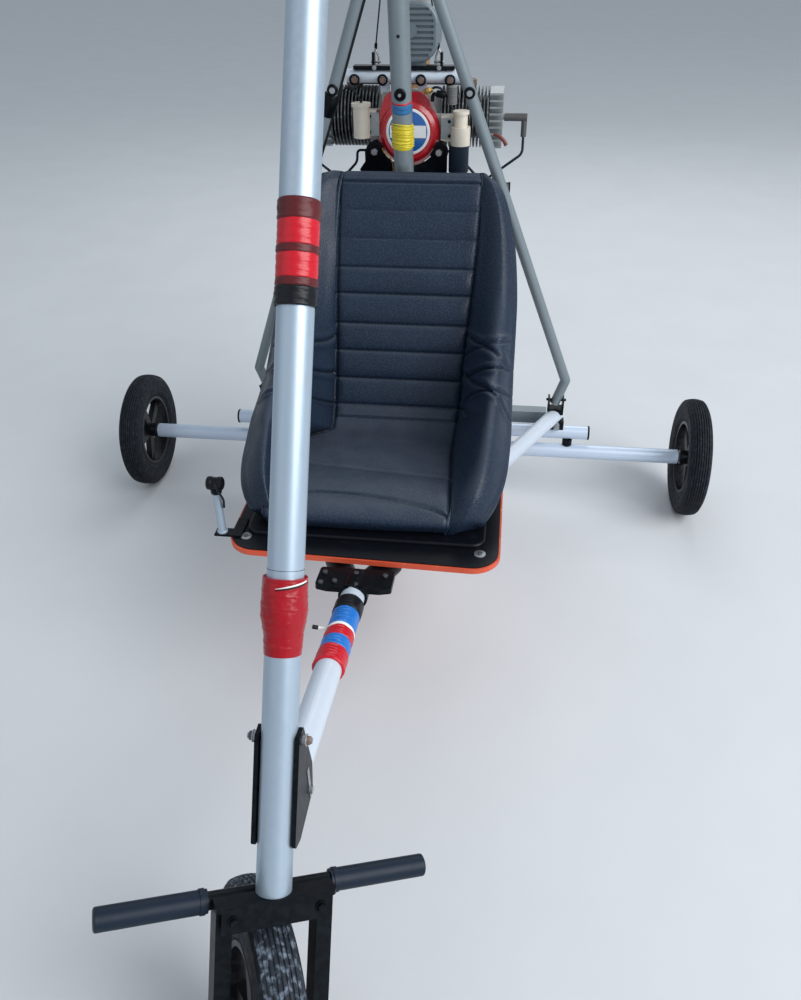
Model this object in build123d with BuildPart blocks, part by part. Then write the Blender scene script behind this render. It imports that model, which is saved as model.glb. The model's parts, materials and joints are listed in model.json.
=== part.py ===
from build123d import *
import os
from math import cos, radians, sin

# Single-seat microlight trike base unit, parked on its three wheels without its wing.
# Millimetres. X runs to the pilot's left, -Y to the nose, +Z up. The origin lies on the
# ground, in the middle of the footprint.

os.makedirs("parts", exist_ok=True)

BASE = (Align.CENTER, Align.CENTER, Align.MIN)

# Driving dimensions

rear_axle_y = 883.8

tyre_radius = 182.5
front_tyre_radius = 212.0
tyre_width = 64.0
rim_radius = 113.0
front_rim_radius = 120.0
rim_width = 48.0
hub_radius = 22.0
hub_length = 60.0

pin_diameter = 20.0
running_fit = 0.05
seat_gap = 0.3

axle_diameter = 45.0
axle_half = 844.0
wheel_standoff = 37.0
track = 2 * (axle_half + wheel_standoff)
cross_diameter = 42.0
cross_half = 560.0
cross_back = 10.0
cross_height = 246.0

strut_diameter = 55.0
lower_strut_diameter = 51.5
strut_wall = 2.5
strut_joint = 850.0
strut_overlap = 90.0
strut_foot_back = -1720.0
strut_foot_height = 455.0
strut_head_drop = 117.7
strut_head_gap = 56.9

keel_diameter = 50.0
keel_front = (-1615.0, 533.0)
keel_rear = (-1018.0, 424.0)
leg_diameter = 45.0
leg_front = (36.0, -962.0, 414.0)
leg_rear = (461.0, 22.0, 305.0)
tube_wall = 3.0

mast_diameter = 50.0
mast_lean = 12.2
mast_foot_back = 66.6
mast_foot_height = 300.0
mast_head_drop = 56.0
hang_height = 2752.0

side_strut_diameter = 29.5
side_strut_top = (41.5, -203.0, 1576.0)
side_strut_knee = (474.0, -4.0, 432.0)
side_strut_pin = (453.0, 3.0, 362.0)
clevis_half = 19.0
clevis_bolt = 8.0

steering_turn = 29.0
crown_half = 86.0
crown_top = 2.0
crown_thick = 7.0
fork_leg_outer = 84.0
fork_leg_inner = 61.0
fork_offset = 67.5
foot_bar_half = 238.0
foot_bar_diameter = 25.0
foot_grip_diameter = 33.0

crank_height = 1152.0
cylinder_back = 81.0
fin_radius = 75.0
fin_pitch = 9.2
fin_thickness = 3.0
fin_count = 14
fin_start = 84.0
upper_rise = 108.0
upper_diameter = 32.0
lower_drop = 149.0
lower_diameter = 25.0
lug_drop = 66.0
lug_across = 84.5

drum_rise = 100.0
drum_half_width = 62.0
drum_half_height = 67.0
drum_across = 16.5

seat_half = 303.0
board_height = 446.0
board_thickness = 12.0
sheet_thickness = 3.0
plinth_thickness = 13.0

propeller_park = 2.5


def at(across, back, up):
    """Point given by its distance behind the rear axle."""
    return Vector(across, rear_axle_y + back, up)


def bar(start, end, diameter, mode=Mode.ADD):
    """Round bar between two points, in the part being built."""
    way = Vector(end) - Vector(start)
    with Locations(Plane(origin=start, z_dir=way)):
        Cylinder(diameter / 2, way.length, align=BASE, mode=mode)


def tube(start, end, diameter, wall):
    """Open round tube between two points."""
    bar(start, end, diameter)
    bar(start, end, diameter - 2 * wall, Mode.SUBTRACT)


def block(low, high, mode=Mode.ADD):
    """Upright box between two opposite corners."""
    size = Vector(high) - Vector(low)
    with Locations((Vector(low) + Vector(high)) / 2):
        Box(abs(size.X), abs(size.Y), abs(size.Z), mode=mode)


def engine(across, back, rise):
    """Point given by its height above the crank."""
    return at(across, back, crank_height + rise)


def save(part, name):
    """Label the finished piece and write it under its node's name."""
    part.label = name
    export_step(part, f"parts/{name}.step")


# Directions and planes that several pieces share

mast_way = Vector(0, -sin(radians(mast_lean)), cos(radians(mast_lean)))
mast_foot_point = at(0, mast_foot_back, mast_foot_height)


def on_mast(height):
    """Point on the mast's centreline at a height above the ground."""
    return mast_foot_point + mast_way * ((height - mast_foot_height) / mast_way.Z)


strut_foot = at(0, strut_foot_back, strut_foot_height)
strut_top = on_mast(hang_height - strut_head_drop) - Vector(0, strut_head_gap, 0)
strut_way = (strut_top - strut_foot).normalized()
strut_side = Vector(0, -strut_way.Z, strut_way.Y)


def on_strut(along):
    """Point on the front strut's centreline, measured from its foot."""
    return strut_foot + strut_way * along


turn = radians(steering_turn)
fork_across = Vector(cos(turn), strut_way.Z * sin(turn), -strut_way.Y * sin(turn))
steering = Plane(origin=strut_foot, x_dir=fork_across, z_dir=strut_way)


def tyre_section(radius, bead):
    """Corner points of a tyre's right half, as distance from the axle and half width."""
    half = tyre_width / 2
    return ((bead + 0.2, half - 11), (bead + 8, half - 4), (bead + 32, half), (radius - 16, half - 1),
            (radius - 6, half - 8), (radius, half - 20))


# The tilted nose wheel touches the ground, which sets how far its axle lies below the strut

wheel_lean = abs(fork_across.Z)
wheel_reach = max(radius * (1 - wheel_lean ** 2) ** 0.5 + half * wheel_lean
                  for radius, half in tyre_section(front_tyre_radius, front_rim_radius))
fork_drop = (strut_foot_height + steering.y_dir.Z * fork_offset - wheel_reach) / strut_way.Z


def on_fork(across, back, up):
    """Point in the turned fork's own frame."""
    return steering.from_local_coords(Vector(across, back, up))


def on_side_strut(side, height):
    """Point on a side strut's centreline at a height above the ground."""
    top = Vector(side * side_strut_top[0], rear_axle_y + side_strut_top[1], side_strut_top[2])
    knee = Vector(side * side_strut_knee[0], rear_axle_y + side_strut_knee[1], side_strut_knee[2])
    return top + (knee - top) * ((height - top.Z) / (knee.Z - top.Z))


# Front strut, whose lower tube slides up into the wider one, its taped splice, and the kingpin in its foot

strut_start = crown_top + 0.5
with BuildPart() as front_strut:
    tube(on_strut(strut_joint), strut_top, strut_diameter, strut_wall)
    tube(on_strut(strut_start), on_strut(strut_joint + strut_overlap), lower_strut_diameter, strut_wall)
save(front_strut.part, "front_strut")

splice_low = 345.0
splice_profile = ((0, 1), (20, 1.5), (38, 3), (58, 5.5), (84, 6.3), (100, 5.8), (108, 5))
splice_length = splice_profile[-1][0]
splice_inner = lower_strut_diameter / 2 + 0.1
with BuildPart() as splice_tape:
    with BuildSketch(Plane(origin=on_strut(splice_low), x_dir=(1, 0, 0), z_dir=strut_side)):
        with BuildLine():
            Polyline((splice_inner, 0), *[(splice_inner + swell, along) for along, swell in splice_profile],
                     (splice_inner, splice_length), close=True)
        make_face()
    revolve(axis=Axis(on_strut(splice_low), strut_way))
save(splice_tape.part, "splice_tape")

kingpin_diameter = 16.0
kingpin_end = -31.0
crown_low = crown_top - crown_thick
with BuildPart() as kingpin:
    plug = lower_strut_diameter / 2 - strut_wall - 0.1
    bar(on_strut(strut_start + 1), on_strut(70.0), 2 * plug)
    bar(on_strut(kingpin_end), on_strut(strut_start + 1), kingpin_diameter)
    bar(on_strut(kingpin_end), on_strut(kingpin_end + 7), 28.0)
save(kingpin.part, "kingpin")

# Nose plates and the keel between them

nose_outline = ((-1698.0, 524.0), (-1620.0, 663.0), (-1596.0, 663.0), (-1572.0, 556.0),
                (-1584.0, 508.0), (-1670.0, 508.0))
nose_inner = lower_strut_diameter / 2 + seat_gap
nose_thick = 6.0
with BuildPart() as nose_plates:
    for side in (-1, 1):
        start = side * nose_inner
        with BuildSketch(Plane(origin=(start, 0, 0), x_dir=(0, 1, 0), z_dir=(1, 0, 0))):
            with BuildLine():
                Polyline(*[(rear_axle_y + back, up) for back, up in nose_outline], close=True)
            make_face()
        extrude(amount=side * nose_thick)
    fillet(nose_plates.edges().filter_by(Axis.X), 7.0)
save(nose_plates.part, "nose_plates")

keel_start = at(0, *keel_front)
keel_end = at(0, *keel_rear)
keel_way = (keel_end - keel_start).normalized()
with BuildPart() as keel_tube:
    tube(keel_start, keel_end, keel_diameter, tube_wall)
save(keel_tube.part, "keel_tube")

# Each bolt through the plates: distance behind the axle, height, head diameter, length of its stud
nose_bolt_table = ((-1608.0, 648.0, 15.0, 14.0), (-1602.0, 531.0, 12.0, 5.0))
nose_head_thick = 5.0
with BuildPart() as nose_bolts:
    seat_half_width = nose_inner + nose_thick + seat_gap
    for back, up, head_size, stud in nose_bolt_table:
        for side in (-1, 1):
            bar(at(side * seat_half_width, back, up),
                at(side * (seat_half_width + nose_head_thick), back, up),
                head_size)
            bar(at(side * seat_half_width, back, up), at(side * (seat_half_width + stud), back, up), 8.0)
    washer_back, washer_up = nose_bolt_table[1][:2]
    for side in (-1, 1):
        bar(at(side * 18, washer_back, washer_up), at(side * (nose_inner - seat_gap), washer_back,
                                                      washer_up), 22.0)
    bar(keel_start - keel_way * 40, keel_start + keel_way * 60, keel_diameter + 0.4, Mode.SUBTRACT)
save(nose_bolts.part, "nose_bolts")

# Y-shaped fitting that joins the keel to the two legs


def leg_point(side, along):
    """Point on a base leg's centreline, measured from its front end."""
    front = Vector(side * leg_front[0], rear_axle_y + leg_front[1], leg_front[2])
    rear = Vector(side * leg_rear[0], rear_axle_y + leg_rear[1], leg_rear[2])
    return front + (rear - front).normalized() * along


leg_length = (leg_point(1, 0) - Vector(leg_rear[0], rear_axle_y + leg_rear[1], leg_rear[2])).length
with BuildPart() as y_fitting:
    bar(keel_end - keel_way * 38, keel_end + keel_way * 30, keel_diameter + 12)
    for side in (-1, 1):
        bar(leg_point(side, -22), leg_point(side, 62), leg_diameter + 11)
    hub_plane = Plane(origin=at(0, -1018, 438), x_dir=(1, 0, 0), z_dir=(0, 0.13, 0.99))
    with BuildSketch(hub_plane):
        with BuildLine():
            Polyline((-80, -32), (-55, -39), (55, -39), (80, -32), (80, 38), (-80, 38), close=True)
        make_face()
        fillet(vertices(), 8)
    extrude(amount=12)
    bar(keel_end - keel_way * 90, keel_end + keel_way * 0.2, keel_diameter + 0.4, Mode.SUBTRACT)
    for side in (-1, 1):
        bar(leg_point(side, -0.2), leg_point(side, 70), leg_diameter + 0.4, Mode.SUBTRACT)
save(y_fitting.part, "y_fitting")

with BuildPart() as base_legs:
    for side in (-1, 1):
        tube(leg_point(side, 0), leg_point(side, leg_length), leg_diameter, tube_wall)
save(base_legs.part, "base_legs")

# Cross tube, axle tube and what stands between them

with BuildPart() as cross_tube:
    tube(at(-cross_half, cross_back, cross_height), at(cross_half, cross_back, cross_height),
         cross_diameter, tube_wall)
save(cross_tube.part, "cross_tube")

with BuildPart() as axle_tube:
    tube(at(-axle_half, 0, tyre_radius), at(axle_half, 0, tyre_radius), axle_diameter, tube_wall)
save(axle_tube.part, "axle_tube")

axle_top = tyre_radius + axle_diameter / 2
cross_bottom = cross_height - cross_diameter / 2
cross_top = cross_height + cross_diameter / 2
spacer_places = (-500.0, -120.0, 120.0, 500.0)
clevis_thick = 5.0
with BuildPart() as rear_brackets:
    for across in spacer_places:
        bar(at(across, 5, axle_top - 1.2), at(across, 5, cross_bottom + 0.6), 30.0)
        bar(at(across - 30, 0, tyre_radius), at(across + 30, 0, tyre_radius), axle_diameter + 0.4,
            Mode.SUBTRACT)
        bar(at(across - 30, cross_back, cross_height), at(across + 30, cross_back, cross_height),
            cross_diameter + 0.4, Mode.SUBTRACT)
    for side in (-1, 1):
        block(at(side * leg_rear[0] - 22, -6, cross_top - 6), at(side * leg_rear[0] + 22, 24, 289))
        bar(at(side * leg_rear[0] - 40, cross_back, cross_height),
            at(side * leg_rear[0] + 40, cross_back, cross_height),
            cross_diameter + 0.4, Mode.SUBTRACT)
        pin = at(side * side_strut_pin[0], side_strut_pin[1], side_strut_pin[2])
        saddle = leg_point(side, leg_length - 22)
        outer = clevis_half + clevis_thick
        block((pin.X - outer, saddle.Y - 16, saddle.Z + 10), (pin.X + outer, saddle.Y + 20, saddle.Z + 28))
        for ear in (-1, 1):
            block((pin.X + ear * clevis_half, saddle.Y - 16, saddle.Z + 20),
                  (pin.X + ear * outer, saddle.Y + 20, pin.Z + 8))
        bar(pin - Vector(outer + 6, 0, 0), pin + Vector(outer + 6, 0, 0), clevis_bolt)
        bar(leg_point(side, leg_length - 80), leg_point(side, leg_length + 40), leg_diameter + 0.4,
            Mode.SUBTRACT)
save(rear_brackets.part, "rear_brackets")

plug_diameter = axle_diameter - 2 * tube_wall - 0.2
plug_start = axle_half - 60.0
shoulder_diameter = 32.0
shoulder_end = track / 2 - hub_length / 2 - 1.0
nut_diameter = 34.0
nut_start = track / 2 + hub_length / 2 + 1.5
nut_end = nut_start + 9.5
pin_end = nut_end + 2.0
with BuildPart() as stub_axles:
    for side in (-1, 1):
        for start, end, diameter in ((plug_start, axle_half, plug_diameter),
                                     (axle_half, shoulder_end, shoulder_diameter),
                                     (shoulder_end, pin_end, pin_diameter),
                                     (nut_start, nut_end, nut_diameter)):
            bar(at(side * start, 0, tyre_radius), at(side * end, 0, tyre_radius), diameter)
save(stub_axles.part, "stub_axles")

# Grey beam behind the cross tube with the mast's foot bracket

beam_front = 46.0
beam_back = 86.0
beam_low = 252.0
beam_high = 292.0
beam_half = 430.0
beam_wall = 3.0
bracket_top = 372.0
spacer_start = cross_back + cross_diameter / 2 + seat_gap
with BuildPart() as mast_beam:
    block(at(-beam_half, beam_front, beam_low), at(beam_half, beam_back, beam_high))
    block(at(-beam_half - 1, beam_front + beam_wall, beam_low + beam_wall),
          at(beam_half + 1, beam_back - beam_wall, beam_high - beam_wall), Mode.SUBTRACT)
    for across in (-300, 0, 300):
        block(at(across - 15, spacer_start, cross_height + 8),
              at(across + 15, beam_front - seat_gap, cross_height + 28))
    block(at(-36, beam_front - 6, beam_high + seat_gap), at(36, beam_back + 4, beam_high + 5))
    for side in (-1, 1):
        inner = side * (mast_diameter / 2 + seat_gap)
        block(at(inner, beam_front - 6, beam_high + 4), at(inner + side * 6, beam_back + 4, bracket_top))
save(mast_beam.part, "mast_beam")

with BuildPart() as mast:
    tube(on_mast(306), on_mast(hang_height - mast_head_drop), mast_diameter, tube_wall)
save(mast.part, "mast")

# Hang block that ties the strut to the mast and takes the wing's bolt

head = on_mast(hang_height - 112)
hang_bore = 12.0
hang_cheek = 6.0
with BuildPart() as hang_block:
    for side in (-1, 1):
        inner = side * (strut_diameter / 2 + seat_gap)
        with BuildSketch(Plane(origin=(inner, 0, hang_height), x_dir=(0, 1, 0), z_dir=(1, 0, 0))):
            with BuildLine():
                Polyline((head.Y - 75, -142), (head.Y + 45, -142), (head.Y + 30, -52), (head.Y - 8, 26),
                         (head.Y - 46, 26), (head.Y - 80, -52), close=True)
            make_face()
            fillet(vertices(), 10)
        extrude(amount=side * hang_cheek)
    block((-27.8, head.Y - 50, hang_height - 30), (27.8, head.Y - 2, hang_height + 22))
    bar((-60, head.Y - 27, hang_height), (60, head.Y - 27, hang_height), hang_bore, Mode.SUBTRACT)
    crossing = on_mast(hang_height - 84)
    bar(crossing - Vector(28, 0, 0), crossing + Vector(28, 0, 0), 32.0)
    bar(on_mast(hang_height - 152), on_mast(hang_height - 42), mast_diameter + 0.5, Mode.SUBTRACT)
save(hang_block.part, "hang_block")

# Side struts from the mast down to the ends of the legs

with BuildPart() as side_struts:
    for side in (-1, 1):
        knee = on_side_strut(side, side_strut_knee[2])
        pin = at(side * side_strut_pin[0], side_strut_pin[1], side_strut_pin[2])
        bar(on_side_strut(side, side_strut_top[2]), knee, side_strut_diameter)
        bar(knee, pin + (pin - knee).normalized() * 12, side_strut_diameter)
        with Locations(knee):
            Sphere(side_strut_diameter / 2)
        bar(pin - Vector(30, 0, 0), pin + Vector(30, 0, 0), clevis_bolt + 0.4, Mode.SUBTRACT)
save(side_struts.part, "side_struts")

# Engine's upper tube: it hangs on a standoff from the mast and carries the drum's bar

upper_height = crank_height + upper_rise
upper_half = 155.0
bar_low = upper_height + upper_diameter / 2 + seat_gap
bar_high = bar_low + 9
stud_places = (-134, -62, 35, 109)
hanger_places = (-62, 35)
hook_front = upper_diameter / 2
hook_back = hook_front + 6
with BuildPart() as engine_hanger:
    bar(at(-upper_half, 0, upper_height), at(upper_half, 0, upper_height), upper_diameter)
    standoff = on_mast(upper_height)
    bar((0, standoff.Y, upper_height), at(0, 0, upper_height), 24.0)
    bar(on_mast(upper_height - 110), on_mast(upper_height + 140), mast_diameter + 0.6, Mode.SUBTRACT)
    for across in stud_places:
        bar(at(across, -20, upper_height - 6), at(across, 20, upper_height - 6), 15.0)
    for across in hanger_places:
        block(at(across - 11, hook_front - 2, upper_height - 40),
              at(across + 11, hook_back, upper_height + 12))
save(engine_hanger.part, "engine_hanger")

with BuildPart() as drum_bar:
    block(at(-137, -16, bar_low), at(119, 14, bar_high))
    for across in (-86, 86):
        block(at(across - 3, -14, bar_high), at(across + 3, 8, bar_high + 30))
save(drum_bar.part, "drum_bar")

# Lower engine tube clamped behind the side struts, with its engine plate

lower_height = crank_height - lower_drop
lower_back = -44.0
lower_overhang = 15.8719
lower_half = on_side_strut(1, lower_height).X + lower_overhang
plate_front = lower_back + lower_diameter / 2
plate_thick = 6.0
plate_sink = 3.0
plate_outline = ((-104, -162), (-126, -112), (-111, -92), (-111, -66), (106, -66), (106, -112), (100, -162))
cover_across = 3.0
cover_drop = 22.0
cover_radius = 82.0
with BuildPart() as engine_bearers:
    bar(at(-lower_half, lower_back, lower_height), at(lower_half, lower_back, lower_height), lower_diameter)
    for side in (-1, 1):
        clamp = on_side_strut(side, lower_height)
        block((clamp.X - 13, clamp.Y + 2, lower_height - 11),
              (clamp.X + 13, rear_axle_y + lower_back, lower_height + 11))
        bar(on_side_strut(side, lower_height - 100), on_side_strut(side, lower_height + 100),
            side_strut_diameter + 0.6, Mode.SUBTRACT)
        bar(engine(side * lug_across, plate_front - 8, -lug_drop),
            engine(side * lug_across, plate_front, -lug_drop), 26.0)
    with BuildSketch(Plane(origin=engine(0, plate_front - plate_sink, 0), x_dir=(1, 0, 0),
                           z_dir=(0, -1, 0))):
        with BuildLine():
            Polyline(*plate_outline, close=True)
        make_face()
        with Locations((cover_across, -cover_drop)):
            Circle(cover_radius + 3, mode=Mode.SUBTRACT)
        with Locations((-lug_across, -lug_drop), (lug_across, -lug_drop)):
            Circle(24)
        with Locations((cover_across, -cover_drop)):
            Circle(cover_radius - 6, mode=Mode.SUBTRACT)
    extrude(amount=-plate_thick - plate_sink)
save(engine_bearers.part, "engine_bearers")

# Flat twin engine: crankcase, fan cover, finned cylinders and heads, carburettors

case_front = -1.0
case_back = 150.0
case_nose = 158.0
wing_back = 5.0
# Each wing of the case: its two sides and its two levels above the crank
wings = ((-112, -50, -33, 32), (50, 126, -45, 21))
with BuildPart() as crankcase:
    with BuildSketch(Plane(origin=engine(0, 0, 0), x_dir=(0, 1, 0), z_dir=(1, 0, 0))):
        with BuildLine():
            Polyline((case_front, 0), (case_front, 78), (wing_back, 78), (wing_back, 62), (128, 62),
                     (136, 50), (case_back, 42), (case_nose, 30), (case_nose, 0), close=True)
        make_face()
    revolve(axis=Axis(engine(0, 0, 0), (0, 1, 0)))
    for near, far, low, high in wings:
        block(engine(near, case_front, low), engine(far, wing_back, high))
    for side in (-1, 1):
        bar(engine(side * 40, cylinder_back, 0), engine(side * 82, cylinder_back, 0), 118.0)
        bar(engine(side * lug_across, case_front, -lug_drop),
            engine(side * lug_across, wing_back, -lug_drop), 38.0)
        bar(engine(side * lug_across, plate_front + plate_thick, -lug_drop),
            engine(side * lug_across, wing_back, -lug_drop), 14.0)
        block(engine(side * 62, case_front, -lug_drop), engine(side * 100, wing_back, -30))
    for across in hanger_places:
        block(engine(across - 9, hook_back, 38), engine(across + 9, 46, upper_rise - 20))
    bar(engine(0, 140, 0), engine(0, case_nose + 1, 0), 24.0 + 2 * running_fit, Mode.SUBTRACT)
save(crankcase.part, "crankcase")

cover_front = -30.0
with BuildPart() as fan_cover:
    with BuildSketch(Plane(origin=engine(cover_across, 0, -cover_drop), x_dir=(0, 1, 0), z_dir=(1, 0, 0))):
        with BuildLine():
            Polyline((case_front, 0), (case_front, cover_radius), (-12, cover_radius),
                     (-23, cover_radius - 8),
                     (cover_front, cover_radius - 18), (cover_front, 0), close=True)
        make_face()
    revolve(axis=Axis(engine(cover_across, 0, -cover_drop), (0, 1, 0)))
    with BuildSketch(Plane(origin=engine(0, case_front, 0), x_dir=(1, 0, 0), z_dir=(0, -1, 0))):
        with BuildLine():
            Polyline((-76, -22), (-71, 28), (-58, 64), (-44, 74), (36, 74), (54, 60), (64, 28), (82, -22),
                     close=True)
        make_face()
        fillet(vertices(), 9)
    extrude(amount=19)
save(fan_cover.part, "fan_cover")

fin_end = fin_start + (fin_count - 1) * fin_pitch + fin_thickness
head_start = fin_end + 3
spigot_across = 150.0
spigot_rise = 76.5
with BuildPart() as cylinders:
    for side in (-1, 1):
        bar(engine(side * 82, cylinder_back, 0), engine(side * head_start, cylinder_back, 0), 104.0)
        for fin in range(fin_count):
            near = fin_start + fin * fin_pitch
            bar(engine(side * near, cylinder_back, 0),
                engine(side * (near + fin_thickness), cylinder_back, 0),
                2 * fin_radius)
        bar(engine(side * spigot_across, cylinder_back, 0),
            engine(side * spigot_across, cylinder_back, spigot_rise), 40.0)
save(cylinders.part, "cylinders")

head_depth = 34.4
head_pitch = 16.0
head_core = 63.0
head_end = head_start + head_depth
cap_start = head_end + 4
cap_end = 308.0
elbow_across = 301.0
with BuildPart() as cylinder_heads:
    for side in (-1, 1):
        block(engine(side * head_start, cylinder_back - 40, -head_core),
              engine(side * head_end, cylinder_back + 40, head_core))
        for level in range(-4, 5):
            rise = level * head_pitch
            block(engine(side * head_start, cylinder_back - 58, rise - 2.5),
                  engine(side * head_end, cylinder_back + 58, rise + 2.5))
        bar(engine(side * head_end, cylinder_back, 0), engine(side * cap_start, cylinder_back, 0), 14.0)
save(cylinder_heads.part, "cylinder_heads")

with BuildPart() as plug_caps:
    for side in (-1, 1):
        bar(engine(side * cap_start, cylinder_back, 0), engine(side * cap_end, cylinder_back, 0), 20.0)
        bar(engine(side * elbow_across, cylinder_back, 8),
            engine(side * elbow_across, cylinder_back, -48), 15.0)
save(plug_caps.part, "plug_caps")

carb_back = -32.0
# Each carburettor: axis, diameter, lower and upper level, the two sides and two levels of its flange
carburettor_table = (
    (-117.5, 43.0, -33, 50, -110, -81, -31, 30),
    (139.5, 35.0, -48, 34, 88, 126, -43, 19),
)
bowl_across = 139.5
bowl_diameter = 50.0
with BuildPart() as carburettors:
    for across, width, low, high, near, far, flange_low, flange_high in carburettor_table:
        bar(engine(across, carb_back, low), engine(across, carb_back, high), width)
        bar(engine(across, carb_back, high - 8), engine(across, carb_back, high), width + 7)
        block(engine(near, case_front - 20, flange_low), engine(far, case_front, flange_high))
    bar(engine(bowl_across, carb_back, -48), engine(bowl_across, carb_back, -4), bowl_diameter)
save(carburettors.part, "carburettors")

hose_across = 136.0
with BuildPart() as intake_hose:
    bar(engine(hose_across, carb_back, -117), engine(hose_across, carb_back, -48 - seat_gap), 52.0)
    fillet(intake_hose.edges().sort_by(Axis.Z)[0], 6)
save(intake_hose.part, "intake_hose")

# Louvred silencer drum above the engine and the pipes that feed it

drum_height = upper_height + drum_rise
drum_front = -24.0
drum_back = 96.0
drum_corner = 50.0
slot_count = 9
slot_pitch = 12.5
with BuildPart() as silencer_drum:
    with BuildSketch(Plane(origin=at(drum_across, drum_front, drum_height), x_dir=(1, 0, 0),
                           z_dir=(0, 1, 0))):
        RectangleRounded(2 * drum_half_width, 2 * drum_half_height, drum_corner)
    extrude(amount=drum_back - drum_front)
    ends = silencer_drum.faces().sort_by(Axis.Y)
    fillet(ends[0].edges() + ends[-1].edges(), 8)
    for slot in range(slot_count):
        rise = (slot - (slot_count - 1) / 2) * slot_pitch
        past = max(abs(rise) - drum_half_height + drum_corner, 0)
        half = drum_half_width - drum_corner + (drum_corner ** 2 - past ** 2) ** 0.5 - 12
        block(at(drum_across - half, drum_front - 1, drum_height + rise - 3),
              at(drum_across + half, drum_front + 5, drum_height + rise + 3), Mode.SUBTRACT)
    bar(at(drum_across - 7.5, drum_front - 5, drum_height + 5),
        at(drum_across - 7.5, drum_front + 10, drum_height + 5),
        34.0)
    block(at(drum_across - 30, -10, bar_high), at(drum_across + 30, 12,
                                                  drum_height - drum_half_height + 14))
save(silencer_drum.part, "silencer_drum")

manifold_rise = 91.0
with BuildPart() as exhaust_pipes:
    bar(engine(-spigot_across, cylinder_back, manifold_rise),
        engine(spigot_across, cylinder_back, manifold_rise), 28.0)
    for side in (-1, 1):
        port = engine(side * spigot_across, cylinder_back, manifold_rise)
        bar(engine(side * spigot_across, cylinder_back, spigot_rise + seat_gap), port, 44.0)
    bar(engine(drum_across, cylinder_back, manifold_rise),
        at(drum_across, cylinder_back, drum_height - drum_half_height - seat_gap), 30.0)
save(exhaust_pipes.part, "exhaust_pipes")

# High-tension leads from the plug caps down under the cylinders to the crankcase

lead_diameter = 7.0
lead_route = ((301, 81, -48.5), (301, 72, -90), (196, 60, -163), (149, 60, -115), (147, 60, -84),
              (62, 60, -84),
              (62, 60, -55.8))
lead_radii = (24, 28, 26, 10, 10)
with BuildPart() as ignition_leads:
    for side in (-1, 1):
        points = [engine(side * across, back, rise) for across, back, rise in lead_route]
        with BuildLine() as lead:
            FilletPolyline(*points, radius=lead_radii)
        with BuildSketch(Plane(origin=points[0], z_dir=points[1] - points[0])) as section:
            Circle(lead_diameter / 2)
        sweep(sections=section.sketch, path=lead.line)
print("Lead bend radii in mm:", lead_radii)
save(ignition_leads.part, "ignition_leads")

# Fuel tank on the tail of the seat board

tank_half = 130.0
tank_front = -262.0
tank_back = -118.0
board_top = board_height + board_thickness
tank_top = board_top + 170.0
filler_across = 60.0
filler_back = (tank_front + tank_back) / 2
filler_diameter = 52.0
with BuildPart() as fuel_tank:
    block(at(-tank_half, tank_front, board_top), at(tank_half, tank_back, tank_top))
    fillet(fuel_tank.edges().filter_by(Axis.Z), 28)
    fillet(fuel_tank.faces().sort_by(Axis.Z)[-1].edges(), 16)
    bar(at(filler_across, filler_back, tank_top - 5), at(filler_across, filler_back, tank_top + 18),
        filler_diameter)
save(fuel_tank.part, "fuel_tank")

# Seat board on four blocks over the legs, moulded plinth, bucket seat

board_front = -957.0
board_front_left = -974.0
board_back = -335.0
board_inset = 3.0
board_half = seat_half - board_inset
tail_half = 150.0
tail_back = -105.0
board_corner = 62.0
sheet_edge = 4.0
block_places = (-700, -390)
with BuildPart() as seat_board:
    with BuildSketch(Plane.XY.offset(board_height)):
        with BuildLine():
            Polyline(at(-board_half, board_front, 0), at(board_half, board_front_left, 0),
                     at(board_half, board_back, 0), at(tail_half, board_back, 0),
                     at(tail_half, tail_back, 0), at(-tail_half, tail_back, 0),
                     at(-tail_half, board_back, 0), at(-board_half, board_back, 0), close=True)
        make_face()
    extrude(amount=board_thickness)
    fillet(seat_board.edges().filter_by(Axis.Z).sort_by(Axis.Y)[0:2], board_corner)
    for back in block_places:
        share = (back - leg_front[1]) / (leg_rear[1] - leg_front[1]) * leg_length
        for side in (-1, 1):
            leg = leg_point(side, share)
            block((leg.X - 20, leg.Y - 14, leg.Z + leg_diameter / 2 - 4),
                  (leg.X + 20, leg.Y + 14, board_height - seat_gap))
            bar(leg_point(side, share - 80), leg_point(side, share + 80), leg_diameter + 2 * seat_gap,
                Mode.SUBTRACT)
save(seat_board.part, "seat_board")

sheet_top = board_top + sheet_thickness
plinth_top = board_top + plinth_thickness
sheet_half = board_half - sheet_edge
plinth_half = seat_half - 37.0
plinth_front = -905.0
plinth_back = -345.0
with BuildPart() as seat_plinth:
    with BuildSketch(Plane.XY.offset(board_top)):
        with BuildLine():
            Polyline(at(-sheet_half, board_front + sheet_edge, 0),
                     at(sheet_half, board_front_left + sheet_edge, 0),
                     at(sheet_half, board_back - sheet_edge, 0),
                     at(-sheet_half, board_back - sheet_edge, 0), close=True)
        make_face()
    extrude(amount=sheet_thickness)
    fillet(seat_plinth.edges().filter_by(Axis.Z).sort_by(Axis.Y)[0:2], board_corner - sheet_edge)
    block(at(-plinth_half, plinth_front, board_top), at(plinth_half, plinth_back, plinth_top))
    fillet(seat_plinth.edges().filter_by(Axis.Z).group_by(Axis.Z)[-1], 30)
    fillet(seat_plinth.faces().sort_by(Axis.Z)[-1].edges(), 5)
save(seat_plinth.part, "seat_plinth")

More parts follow.
